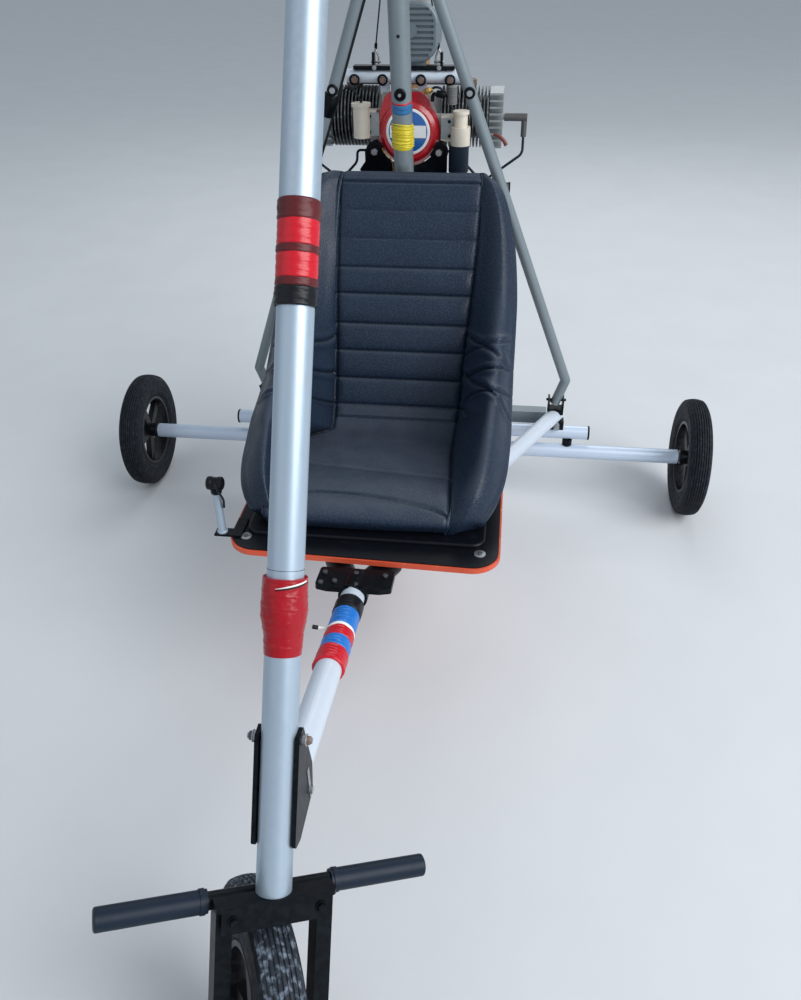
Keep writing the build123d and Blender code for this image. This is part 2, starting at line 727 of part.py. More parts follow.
seat_bottom = plinth_top + seat_gap
seat_side = ((-122, 1046), (-168, 1052), (-262, 905), (-414, 790), (-600, 700), (-790, 622), (-862, 590),
             (-893, 540), (-882, seat_bottom), (plinth_back, seat_bottom), (-330, 480))
seat_hollow = ((-155, 1075), (-255, 850), (-352, 640), (-400, 560), (-440, 536), (-640, 528), (-900, 548),
               (-900, 1075))
seat_front_view = ((138 - seat_half, 1060), (seat_half - 138, 1060), (seat_half - 41, 1000),
                   (seat_half, 870), (seat_half, 620), (seat_half - 15, 500),
                   (seat_half - 41, seat_bottom), (57 - seat_half, seat_bottom), (31 - seat_half, 500),
                   (-seat_half, 640), (-seat_half, 870), (41 - seat_half, 1000))
bolster_width = 89.0
hollow_half = seat_half - bolster_width
with BuildPart() as seat:
    with BuildSketch(Plane(origin=(-seat_half, 0, 0), x_dir=(0, 1, 0), z_dir=(1, 0, 0))):
        with BuildLine():
            Polyline(*[(rear_axle_y + back, up) for back, up in seat_side], close=True)
        make_face()
    extrude(amount=2 * seat_half)
    with BuildSketch(Plane(origin=(-hollow_half, 0, 0), x_dir=(0, 1, 0), z_dir=(1, 0, 0))):
        with BuildLine():
            Polyline(*[(rear_axle_y + back, up) for back, up in seat_hollow], close=True)
        make_face()
    extrude(amount=2 * hollow_half, mode=Mode.SUBTRACT)
    with BuildSketch(Plane(origin=at(0, -1000, 0), x_dir=(1, 0, 0), z_dir=(0, -1, 0))):
        with BuildLine():
            Polyline(*seat_front_view, close=True)
        make_face()
    extrude(amount=-1000, mode=Mode.INTERSECT)
save(seat.part, "seat")

# Hand throttle post at the pilot's right

lever_across = -board_half - 18.0
lever_back = -905.0
lever_foot = sheet_top + 5
lever_top = sheet_top + 133
foot_end = lever_across + 46
with BuildPart() as throttle_post:
    block(at(lever_across - 16, lever_back - 14, sheet_top), at(foot_end, lever_back + 14, lever_foot))
    block(at(foot_end - 24, lever_back - 14, sheet_top), at(foot_end, lever_back + 45, lever_foot))
    bar(at(lever_across, lever_back, lever_foot), at(lever_across, lever_back, lever_top - 6), 18.0)
    bar(at(lever_across - 18, lever_back, lever_top), at(lever_across + 18, lever_back, lever_top), 30.0)
    bar(at(lever_across, lever_back, lever_top - 24), at(lever_across, lever_back, lever_top - 4), 24.0)
save(throttle_post.part, "throttle_post")

# Steered fork: crown, legs, axle, foot bar and grips

bar_back = 21.3
bar_up = -10.7
crown_front = -28.0
crown_back = 5.0
flange_depth = 31.0
flange_thick = 6.0
leg_front_edge = -15.0
leg_back_edge = 22.0
leg_low = -fork_drop - 24
with BuildPart() as fork_crown:
    with BuildSketch(steering.offset(crown_low)):
        with Locations((0, (crown_front + crown_back) / 2)):
            Rectangle(2 * crown_half, crown_back - crown_front)
        fillet(vertices().sort_by(Axis.Y)[0:2], 8)
    extrude(amount=crown_thick)
    with BuildSketch(steering.offset(crown_low - flange_depth)):
        with Locations((0, crown_front + flange_thick / 2)):
            Rectangle(2 * crown_half - 16, flange_thick)
    extrude(amount=flange_depth + 1)
    with BuildSketch(steering.offset(bar_up - 12)):
        for side in (-1, 1):
            with Locations((side * 42, 6)):
                Rectangle(24, 34)
    extrude(amount=crown_low - bar_up + 13)
    bar(on_fork(-100, bar_back, bar_up), on_fork(100, bar_back, bar_up), foot_bar_diameter + 0.3,
        Mode.SUBTRACT)
    bar(on_fork(0, 0, crown_top + 1), on_fork(0, 0, crown_low - 60), kingpin_diameter + 2 * running_fit,
        Mode.SUBTRACT)
save(fork_crown.part, "fork_crown")

# Side view of a fork leg: distance behind the steering axis and height along it
leg_view = (
    (leg_front_edge, crown_low - 0.2), (leg_back_edge, crown_low - 0.2), (leg_back_edge, -fork_drop + 62),
    (fork_offset + 22, -fork_drop + 20), (fork_offset + 22, -fork_drop - 16), (fork_offset + 12, leg_low),
    (leg_front_edge + 12, leg_low), (leg_front_edge, leg_low + 14),
)
with BuildPart() as fork_legs:
    for side in (-1, 1):
        inner = on_fork(side * fork_leg_inner, 0, 0)
        with BuildSketch(Plane(origin=inner, x_dir=steering.y_dir, z_dir=steering.x_dir)):
            with BuildLine():
                Polyline(*leg_view, close=True)
            make_face()
        extrude(amount=side * (fork_leg_outer - fork_leg_inner))
    bar(on_fork(-120, fork_offset, -fork_drop), on_fork(120, fork_offset, -fork_drop), pin_diameter + 0.2,
        Mode.SUBTRACT)
    bar(on_fork(-120, bar_back, bar_up), on_fork(120, bar_back, bar_up), foot_bar_diameter + 0.3,
        Mode.SUBTRACT)
save(fork_legs.part, "fork_legs")

nut_thick = 9.0
with BuildPart() as front_axle:
    axle_end = fork_leg_outer + nut_thick
    bar(on_fork(-axle_end, fork_offset, -fork_drop), on_fork(axle_end, fork_offset, -fork_drop),
        pin_diameter)
    for side in (-1, 1):
        bar(on_fork(side * (hub_length / 2 + 0.8), fork_offset, -fork_drop),
            on_fork(side * (fork_leg_inner - 0.1), fork_offset, -fork_drop), 30.0)
        bar(on_fork(side * (fork_leg_outer + 0.1), fork_offset, -fork_drop),
            on_fork(side * axle_end, fork_offset, -fork_drop), 30.0)
save(front_axle.part, "front_axle")

with BuildPart() as foot_bar:
    bar(on_fork(-foot_bar_half + 4, bar_back, bar_up), on_fork(foot_bar_half - 4, bar_back, bar_up),
        foot_bar_diameter)
save(foot_bar.part, "foot_bar")

grip_start = 90.0
with BuildPart() as foot_grips:
    for side in (-1, 1):
        bar(on_fork(side * grip_start, bar_back, bar_up), on_fork(side * foot_bar_half, bar_back, bar_up),
            foot_grip_diameter)
        bar(on_fork(side * (grip_start + 4), bar_back, bar_up),
            on_fork(side * (grip_start + 11), bar_back, bar_up),
            foot_grip_diameter + 3)
    bar(on_fork(-foot_bar_half + 4, bar_back, bar_up), on_fork(foot_bar_half - 4, bar_back, bar_up),
        foot_bar_diameter + 0.1, Mode.SUBTRACT)
save(foot_grips.part, "foot_grips")

# Wheels: tyre, and rim with five open spokes, the same on all three hubs

spoke_count = 5
rim_band = 9.0


def wheel_plane(centre, across):
    """Plane through a wheel's centre, its Z along the axle."""
    return Plane(origin=centre, x_dir=across.cross(Vector(0, 0, 1)), z_dir=across)


def make_tyre(plane, radius, bead):
    """Tyre turned about the axle."""
    section = tyre_section(radius, bead)
    with BuildPart() as tyre:
        with BuildSketch(Plane(origin=plane.origin, x_dir=plane.x_dir, z_dir=-plane.y_dir)):
            with BuildLine():
                Polyline(*section, *[(distance, -half) for distance, half in reversed(section)], close=True)
            make_face()
        revolve(axis=Axis(plane.origin, plane.z_dir))
    return tyre.part


def make_rim(plane, bead):
    """Rim band, spokes and bored hub."""
    with BuildPart() as rim:
        with BuildSketch(plane.offset(-rim_width / 2)):
            Circle(bead)
            Circle(bead - rim_band, mode=Mode.SUBTRACT)
        extrude(amount=rim_width)
        with BuildSketch(plane.offset(-hub_length / 2)):
            Circle(hub_radius)
        extrude(amount=hub_length)
        with BuildSketch(plane.offset(-9)):
            with PolarLocations(0, spoke_count):
                with Locations(((bead - rim_band + hub_radius) / 2, 0)):
                    Rectangle(bead - hub_radius - 2, 26)
        extrude(amount=18)
        with BuildSketch(plane.offset(-hub_length)):
            Circle(pin_diameter / 2 + running_fit)
        extrude(amount=2 * hub_length, mode=Mode.SUBTRACT)
    return rim.part


# Each wheel: name, centre, direction of its axle, tyre radius, rim radius
wheels = (
    ("front", on_fork(0, fork_offset, -fork_drop), fork_across, front_tyre_radius, front_rim_radius),
    ("rear_left", at(track / 2, 0, tyre_radius), Vector(1, 0, 0), tyre_radius, rim_radius),
    ("rear_right", at(-track / 2, 0, tyre_radius), Vector(1, 0, 0), tyre_radius, rim_radius),
)
for wheel, centre, across, radius, bead in wheels:
    hub = wheel_plane(centre, across)
    save(make_tyre(hub, radius, bead), f"{wheel}_tyre")
    save(make_rim(hub, bead), f"{wheel}_rim")

# Two-blade wooden propeller on a flanged shaft

propeller_back = 195.5
with BuildPart() as propeller_hub:
    bar(engine(0, 146, 0), engine(0, propeller_back - 15.2, 0), 24.0)
    bar(engine(0, propeller_back - 22, 0), engine(0, propeller_back - 15.2, 0), 90.0)
    bar(engine(0, propeller_back + 15.2, 0), engine(0, propeller_back + 21, 0), 90.0)
save(propeller_hub.part, "propeller_hub")

# Each blade station: distance from the hub, chord, thickness, pitch angle
blade_stations = ((38, 60, 13, 14), (100, 74, 22, 36), (240, 92, 15, 24), (430, 84, 10, 15),
                  (650, 44, 5, 10))
parked = radians(propeller_park)
blades = Plane(origin=engine(0, propeller_back, 0), x_dir=(cos(parked), 0, -sin(parked)),
               z_dir=(sin(parked), 0, cos(parked)))
with BuildPart() as propeller:
    bar(engine(0, propeller_back - 15, 0), engine(0, propeller_back + 15, 0), 92.0)
    for side in (-1, 1):
        for along, chord, thick, pitch in blade_stations:
            twist = radians(pitch)
            with BuildSketch(Plane(origin=blades.from_local_coords(Vector(0, 0, side * along)),
                                   x_dir=blades.x_dir * (side * cos(twist)) + blades.y_dir * sin(twist),
                                   z_dir=blades.z_dir * side)):
                with BuildLine():
                    ThreePointArc((-chord / 2, 0), (-chord * 0.08, thick * 0.75), (chord / 2, 0))
                    ThreePointArc((-chord / 2, 0), (0, -thick * 0.25), (chord / 2, 0))
                make_face()
        loft()
save(propeller.part, "propeller")
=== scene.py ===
import json
from math import cos, dist, exp, pi, radians, sin, tau

import bmesh
import bpy
from mathutils import Matrix, Vector, noise


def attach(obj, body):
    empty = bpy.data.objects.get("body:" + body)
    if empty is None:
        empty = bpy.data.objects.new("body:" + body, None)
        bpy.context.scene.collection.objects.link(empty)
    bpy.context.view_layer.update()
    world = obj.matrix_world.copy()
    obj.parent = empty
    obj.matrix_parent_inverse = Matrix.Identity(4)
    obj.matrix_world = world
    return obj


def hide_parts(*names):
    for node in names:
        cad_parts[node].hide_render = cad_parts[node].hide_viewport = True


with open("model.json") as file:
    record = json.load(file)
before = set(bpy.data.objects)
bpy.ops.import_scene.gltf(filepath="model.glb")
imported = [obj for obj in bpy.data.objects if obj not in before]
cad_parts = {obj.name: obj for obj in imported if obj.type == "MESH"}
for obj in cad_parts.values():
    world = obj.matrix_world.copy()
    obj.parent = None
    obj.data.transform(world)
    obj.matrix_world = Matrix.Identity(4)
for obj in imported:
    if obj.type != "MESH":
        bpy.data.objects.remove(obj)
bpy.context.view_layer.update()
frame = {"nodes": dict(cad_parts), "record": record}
SCENE = bpy.context.scene


def new_object(name, data):
    """New object, in the scene."""
    made = bpy.data.objects.new(name, data)
    SCENE.collection.objects.link(made)
    return made


# Camera: where the photographer stood and how the lens pointed, in metres and radians

REAR_AXLE_Y = 0.8838
CAMERA_AT = Vector((0.2747, REAR_AXLE_Y - 2.3781, 1.5948))
# Its yaw, its pitch up from straight down and its roll
CAMERA_TURNS = ((0.12907, "Z"), (pi / 2 - 0.59982, "X"), (-0.01405, "Z"))
FOCAL_PIXELS = 853.3
LONG_SIDE_PIXELS = 1000
SENSOR = 36
NEAREST_SEEN, FARTHEST_SEEN = 0.05, 60


def make_camera():
    """Camera at the photograph's viewing angle."""
    data = bpy.data.cameras.new("camera")
    data.sensor_fit = "AUTO"
    data.sensor_width = SENSOR
    data.lens = FOCAL_PIXELS * SENSOR / LONG_SIDE_PIXELS
    data.clip_start, data.clip_end = NEAREST_SEEN, FARTHEST_SEEN
    camera = new_object("camera", data)
    camera.matrix_world = Matrix.Translation(CAMERA_AT)
    for angle, axis in CAMERA_TURNS:
        camera.matrix_world @= Matrix.Rotation(angle, 4, axis)
    SCENE.camera = camera


# Materials: every finish is a small node tree in the piece's own coordinates

# Materials by name; each tree adds its own
LOOKS = {}
# Middle of a noise's range, over which colours and roughness change
NOISE_LOW, NOISE_HIGH = 0.3, 0.7


def colour(shade):
    """Linear colour of a display colour with channels up to 255."""
    shares = [channel / 255 for channel in shade]
    linear = [s / 12.92 if s <= 0.04045 else ((s + 0.055) / 1.055) ** 2.4 for s in shares]
    return (*linear, 1)


def shaded(base, factor):
    """Linear colour made darker or lighter."""
    return (*[min(channel * factor, 1) for channel in base[:3]], 1)


class Tree:
    """Node tree of one material, with short calls for the nodes that finishes share."""

    def __init__(self, name):
        material = LOOKS[name] = bpy.data.materials.new(name)
        material.use_nodes = True
        self.tree = material.node_tree
        self.shader = self.tree.nodes["Principled BSDF"]
        self.place = self.add("TexCoord").outputs["Object"]

    def feed(self, socket, value):
        """Sets a socket, or joins it to another one."""
        if isinstance(value, bpy.types.NodeSocket):
            self.tree.links.new(value, socket)
        else:
            socket.default_value = value

    def add(self, kind, *inputs, **settings):
        """New node with its inputs, as (socket, value or other socket), and its settings."""
        node = self.tree.nodes.new(f"ShaderNode{kind}")
        for key, value in settings.items():
            setattr(node, key, value)
        for socket, value in inputs:
            self.feed(node.inputs[socket], value)
        return node

    def set(self, **values):
        """Sets or joins the shader's own sockets; an underscore stands for a space."""
        for key, value in values.items():
            self.feed(self.shader.inputs[key.replace("_", " ")], value)

    def noise(self, scale, detail=4, stretch=(1, 1, 1)):
        """Noise from 0 to 1 in piece coordinates scaled along each axis."""
        spread = self.add("Mapping", ("Scale", stretch), ("Vector", self.place)).outputs["Vector"]
        inputs = (("Scale", scale), ("Detail", detail), ("Roughness", 0.55), ("Vector", spread))
        return self.add("TexNoise", *inputs).outputs["Fac"]

    def ramp(self, source, dark, light):
        """Colour that goes from dark to light over the middle of a noise's range."""
        node = self.add("ValToRGB", ("Fac", source))
        for element, position, shade in zip(node.color_ramp.elements, (NOISE_LOW, NOISE_HIGH), (dark, light)):
            element.position = position
            element.color = shade
        return node.outputs["Color"]

    def blotched(self, scale, detail, base, darker, lighter):
        """Linear base colour with soft blotches."""
        return self.ramp(self.noise(scale, detail), shaded(base, darker), shaded(base, lighter))

    def fade(self, source, low, high, start=0, end=1):
        """Maps a value from low to high onto start to end, clamped."""
        ends = (("From Min", low), ("From Max", high), ("To Min", start), ("To Max", end))
        return self.add("MapRange", ("Value", source), *ends).outputs["Result"]

    def patches(self, scale, low, high):
        """Value that changes from low to high in patches."""
        return self.fade(self.noise(scale), NOISE_LOW, NOISE_HIGH, low, high)

    def product(self, first, second):
        """Product of two sockets."""
        return self.add("Math", (0, first), (1, second), operation="MULTIPLY").outputs[0]

    def mix(self, share, first, second):
        """Colour between two, by a share."""
        return self.add("Mix", (0, share), (6, first), (7, second), data_type="RGBA").outputs[2]

    def pointiness(self):
        """How sharp the surface is: over 0.5 on outer edges, under 0.5 in creases."""
        return self.add("NewGeometry").outputs["Pointiness"]

    def facing_up(self):
        """How far the surface faces up, from -1 to 1."""
        return self.add("SeparateXYZ", (0, self.add("NewGeometry").outputs["Normal"])).outputs["Z"]

    def bump(self, height, distance, strength):
        """Bump from a height socket, over the bumps already there; distance in metres."""
        node = self.add("Bump", ("Strength", strength), ("Distance", distance), ("Height", height))
        before = self.shader.inputs["Normal"].links
        if before:
            self.feed(node.inputs["Normal"], before[0].from_socket)
        self.set(Normal=node.outputs["Normal"])


def coated(name, base, dirt, wear, rough, metal=0, coat=0, worn=0.12, grime=0.2, lumps=0, shine=0.5):
    """Painted, anodised, moulded or taped surface: faint blotches, grime, rubbed edges and fine grain."""
    tree = Tree(name)
    blotch = tree.blotched(4, 3, colour(base), 0.96, 1.03)
    speck = tree.fade(tree.noise(42, 6), 0.58, 0.8, 0, grime)
    dirty = tree.mix(speck, blotch, colour(dirt))
    rubbed = tree.product(tree.fade(tree.pointiness(), 0.53, 0.6),
                          tree.fade(tree.noise(90, 5), 0.4, 0.62, 0, worn))
    tree.set(Base_Color=tree.mix(rubbed, dirty, colour(wear)), Metallic=metal, Specular_IOR_Level=shine,
             Roughness=tree.patches(60, rough - 0.03, rough + 0.04), Coat_Weight=coat, Coat_Roughness=0.2)
    tree.bump(tree.noise(700, 3), 0.0002, 0.2)
    if lumps:
        tree.bump(tree.noise(120, 3), lumps, 0.5)


def grained_vinyl(name, base, raised, dust_and_light):
    """Embossed vinyl: pebbled cells with paler high spots, painted shade in its creases, and a pale tone
    where it faces up, partly a dusty film and partly painted sky light.
    """
    tree = Tree(name)
    cells = tree.add("TexVoronoi", ("Scale", 260), ("Vector", tree.place), feature="SMOOTH_F1")
    pebble = cells.outputs["Distance"]
    soft = tree.blotched(6, 3, colour(base), 0.9, 1.1)
    grained = tree.mix(tree.fade(pebble, 0.1, 0.5, 0.4, 0), soft, colour(raised))
    # Pale tone where the surface faces up: partly a dusty film, partly painted sky light on the upper faces
    dust_and_sky_light_share = tree.product(tree.fade(tree.facing_up(), 0.6, 0.99, 0, 0.22),
                           tree.fade(tree.noise(14, 5), NOISE_LOW, NOISE_HIGH, 0.6, 1))
    dusty_and_sky_lit = tree.mix(dust_and_sky_light_share, grained, colour(dust_and_light))
    # Painted shade: creases, sewn seams and fold valleys made darker, as the shade that falls in them
    painted_crease_shade = tree.fade(tree.pointiness(), 0.4, 0.485, 0.8, 0)
    tree.set(Base_Color=tree.mix(painted_crease_shade, dusty_and_sky_lit, shaded(colour(base), 0.35)),
             Roughness=tree.patches(30, 0.36, 0.46), Specular_IOR_Level=0.25)
    tree.bump(tree.fade(pebble, 0.1, 0.55, 1, 0), 0.0006, 0.6)
    tree.bump(tree.noise(45), 0.0012, 0.35)


def weathered_board(name):
    """Varnished orange plywood with a faint grain, scuffs and pale worn spots."""
    tree = Tree(name)
    grain = tree.noise(14, 6, (0.4, 7, 1))
    base = tree.ramp(grain, colour((194, 66, 42)), colour((212, 92, 58)))
    worn = tree.fade(tree.noise(26, 6), 0.6, 0.72, 0, 0.5)
    tree.set(Base_Color=tree.mix(worn, base, colour((236, 168, 130))), Roughness=tree.patches(40, 0.42, 0.58))
    tree.bump(grain, 0.0004, 0.3)


def dust_and_light_tyre(name, base, dust_and_light, amount):
    """Tyre rubber with a thin film and patches of a paler dusty tone; on the front tyre the paler tread
    partly paints light on it and the darker sidewall partly paints shade.
    """
    tree = Tree(name)
    # Paler patches: partly a dusty film, partly painted light on the front tread
    cover = tree.fade(tree.noise(95, 7), 0.5, 0.68, amount * 0.08, amount)
    tree.set(Base_Color=tree.mix(cover, colour(base), colour(dust_and_light)), Roughness=tree.patches(50, 0.6, 0.8),
             Specular_IOR_Level=0.25)
    tree.bump(tree.noise(380), 0.0005, 0.4)


def make_looks():
    """Every finish: display colours of its base, dirt and wear, then roughness, metal and what is special."""
    coated("silver_tube", (164, 180, 195), (170, 176, 180), (225, 230, 235), 0.4, 0.55, worn=0.1, grime=0.1)
    coated("white_tube", (196, 206, 218), (176, 182, 188), (220, 226, 230), 0.38, 0.15, worn=0.05, grime=0.1)
    coated("grey_tube", (121, 132, 138), (112, 118, 114), (160, 166, 168), 0.4, 0.3, worn=0.05, grime=0.1)
    coated("pale_tube", (196, 210, 228), (150, 156, 160), (206, 212, 218), 0.38, 0.3, worn=0.05, grime=0.1)
    coated("black_metal", (4, 8, 13), (20, 26, 32), (52, 62, 72), 0.36, worn=0.1, grime=0.1, shine=0.13)
    coated("steel", (158, 162, 166), (110, 104, 96), (205, 208, 212), 0.36, 0.8)
    coated("old_metal", (70, 74, 80), (48, 46, 46), (130, 134, 138), 0.4, 0.5)
    coated("rusty", (122, 96, 84), (92, 60, 44), (168, 158, 150), 0.5, 0.5)
    coated("red_lever", (108, 46, 42), (92, 40, 36), (180, 120, 110), 0.45, 0.1)
    coated("brass", (176, 140, 78), (120, 96, 60), (220, 196, 140), 0.36, 0.8)
    coated("splice_red", (150, 6, 24), (96, 8, 20), (196, 50, 62), 0.3, lumps=0.001, shine=0.35)
    coated("red_tape", (186, 16, 34), (130, 16, 30), (226, 70, 78), 0.28, lumps=0.0007, shine=0.4)
    coated("brown_tape", (84, 24, 28), (46, 20, 22), (136, 66, 68), 0.4, lumps=0.0009, shine=0.3)
    coated("black_tape", (12, 16, 22), (44, 48, 54), (66, 72, 78), 0.36, lumps=0.0006, shine=0.25)
    coated("blue_tape", (26, 108, 190), (20, 52, 96), (92, 140, 196), 0.3, lumps=0.0006)
    coated("teal_tape", (36, 100, 148), (24, 60, 90), (92, 140, 176), 0.3, lumps=0.0006)
    coated("white_tape", (226, 226, 222), (170, 166, 158), (240, 240, 240), 0.4)
    coated("yellow_tape", (214, 196, 44), (160, 140, 40), (236, 226, 130), 0.4, 0.1)
    # Dark sidewalls and a paler, dustier front tread: partly real dirt, partly painted shade on the sidewalls
    # and painted light on the tread
    dust_and_light_tyre("tyre", (15, 20, 28), (76, 84, 94), 0.3)
    dust_and_light_tyre("dusty_lit_tread", (20, 26, 34), (146, 160, 178), 0.62)
    coated("rim", (11, 14, 19), (42, 44, 48), (84, 88, 94), 0.33, shine=0.28)
    coated("rubber", (18, 31, 46), (48, 56, 66), (60, 70, 84), 0.46, grime=0.15, shine=0.22)
    # Plug caps' rubber, paler grey than plain rubber: painted sheen
    coated("painted_sheen_rubber", (66, 66, 68), (96, 92, 88), (120, 118, 116), 0.5)
    coated("grey_hose", (124, 126, 126), (86, 86, 84), (180, 182, 182), 0.5, 0.4)
    weathered_board("wood_board")
    coated("black_plastic", (9, 12, 18), (44, 48, 52), (66, 72, 78), 0.36, shine=0.2)
    # Vinyl: its base, its paler pebble tops, and the pale tone of up-facing parts, partly a dusty film and
    # partly painted sky light
    grained_vinyl("vinyl", (26, 38, 55), (52, 67, 86), (122, 128, 136))
    coated("red_cover", (176, 22, 36), (110, 16, 24), (206, 120, 112), 0.26, coat=0.4)
    coated("badge_white", (228, 232, 236), (190, 188, 180), (240, 240, 240), 0.3, coat=0.3)
    coated("badge_blue", (30, 92, 164), (24, 40, 84), (110, 130, 180), 0.3, coat=0.3)
    coated("cast_case", (176, 178, 176), (112, 106, 96), (210, 212, 210), 0.48, 0.5, lumps=0.0004)
    coated("fins", (74, 78, 80), (40, 40, 40), (190, 196, 200), 0.45, 0.5, worn=0.9)
    coated("head_metal", (146, 152, 154), (90, 88, 84), (205, 208, 210), 0.42, 0.6)
    coated("carb_metal", (210, 202, 188), (150, 138, 120), (226, 222, 212), 0.42, 0.2)
    coated("drum_metal", (102, 113, 120), (90, 92, 88), (170, 176, 176), 0.45, 0.3)
    coated("pipe_metal", (96, 78, 66), (120, 84, 58), (150, 140, 130), 0.6, 0.4)
    coated("tank_plastic", (206, 204, 190), (170, 164, 140), (220, 220, 212), 0.4)
    coated("blade_wood", (142, 106, 70), (108, 76, 46), (176, 146, 110), 0.35, coat=0.5)


# Nodes whose photographed finish is a shade of their slot's
# The plug caps' paler grey rubber is painted sheen
NODE_LOOKS = {"axle_tube": "pale_tube", "cross_tube": "pale_tube", "plug_caps": "painted_sheen_rubber"}


def dress_nodes():
    """Gives every CAD node the finish of its record slot, or its own shade of it."""
    for part in frame["record"]["subparts"]:
        node = frame["nodes"][part["node"]]
        if not node.material_slots:
            node.data.materials.append(None)
        for slot in node.material_slots:
            slot.material = LOOKS[NODE_LOOKS.get(part["node"], part["material_slot"])]


# Shared places and directions, in metres

FORWARD, UPWARD = Vector((0, -1, 0)), Vector((0, 0, 1))
JOINTS = {joint["name"]: joint for joint in frame["record"]["behaviour"]["joints"]}
STRUT_FOOT = Vector(JOINTS["steering"]["pos_m"])
STRUT_WAY = Vector(JOINTS["steering"]["axis"]).normalized()
STRUT_FRONT = Vector((0, -STRUT_WAY.z, STRUT_WAY.y))
STRUT_RADIUS, LOWER_STRUT_RADIUS = 0.0275, 0.02575
FORK_ACROSS = Vector(JOINTS["front_wheel_spin"]["axis"]).normalized()
FORK_BACK = STRUT_WAY.cross(FORK_ACROSS)
MAST_LEAN = radians(12.2)
MAST_WAY = Vector((0, -sin(MAST_LEAN), cos(MAST_LEAN)))
MAST_FRONT = Vector((0, -cos(MAST_LEAN), -sin(MAST_LEAN)))
MAST_FOOT_BACK, MAST_FOOT_UP = 0.0666, 0.3
MAST_RADIUS = KEEL_RADIUS = 0.025
CRANK = 1.152


def at(across, back, up):
    """Point given by its distance behind the rear axle."""
    return Vector((across, REAR_AXLE_Y + back, up))


KEEL_START = at(0, -1.615, 0.533)
KEEL_WAY = (at(0, -1.018, 0.424) - KEEL_START).normalized()


def on_strut(along):
    """Point on the front strut's centreline."""
    return STRUT_FOOT + STRUT_WAY * along


def on_mast(height):
    """Point on the mast's centreline at a height above the ground."""
    return at(0, MAST_FOOT_BACK, MAST_FOOT_UP) + MAST_WAY * ((height - MAST_FOOT_UP) / MAST_WAY.z)


def on_fork(across, back, up):
    """Point in the turned fork's own frame."""
    return STRUT_FOOT + FORK_ACROSS * across + FORK_BACK * back + STRUT_WAY * up


def on_side(side, height):
    """Point on a side strut's centreline at a height above the ground."""
    top, knee = at(side * 0.0415, -0.203, 1.576), at(side * 0.474, -0.004, 0.432)
    return top.lerp(knee, (top.z - height) / (top.z - knee.z))


# Mesh tools

CURVE_STEPS = 24
HEXAGON_TURN = 0.3


def clamp(value):
    """Value kept from 0 to 1."""
    return min(max(value, 0), 1)


def between(before, start, end, after, u):
    """Value or point from start to end on a smooth curve through all four."""
    return 0.5 * (2 * start + (end - before) * u + (2 * before - 5 * start + 4 * end - after) * u * u
                  + (3 * start - before - 3 * end + after) * u * u * u)


def evenly(lengths, count):
    """Evenly spaced places along running lengths, as (number of a step, share of it)."""
    step = 0
    for number in range(count):
        target = lengths[-1] * number / (count - 1)
        while step < len(lengths) - 2 and lengths[step + 1] < target:
            step += 1
        yield step, clamp((target - lengths[step]) / max(lengths[step + 1] - lengths[step], 1e-9))


def rail(values, share):
    """Smooth value of a table of numbers at a share of its length."""
    place = share * (len(values) - 1)
    k = min(int(place), len(values) - 2)
    ends = [2 * values[0] - values[1], *values, 2 * values[-1] - values[-2]]
    return between(*ends[k:k + 4], place - k)


def smooth_line(points, count):
    """Evenly spaced points on a smooth curve through the given ones."""
    ends = [points[0] * 2 - points[1], *points, points[-1] * 2 - points[-2]]
    dense = [between(*ends[k:k + 4], step / CURVE_STEPS)
             for k in range(len(points) - 1) for step in range(CURVE_STEPS)]
    dense.append(points[-1])
    lengths = [0]
    for first, second in zip(dense, dense[1:]):
        lengths.append(lengths[-1] + (second - first).length)
    return [dense[k].lerp(dense[k + 1], share) for k, share in evenly(lengths, count)]


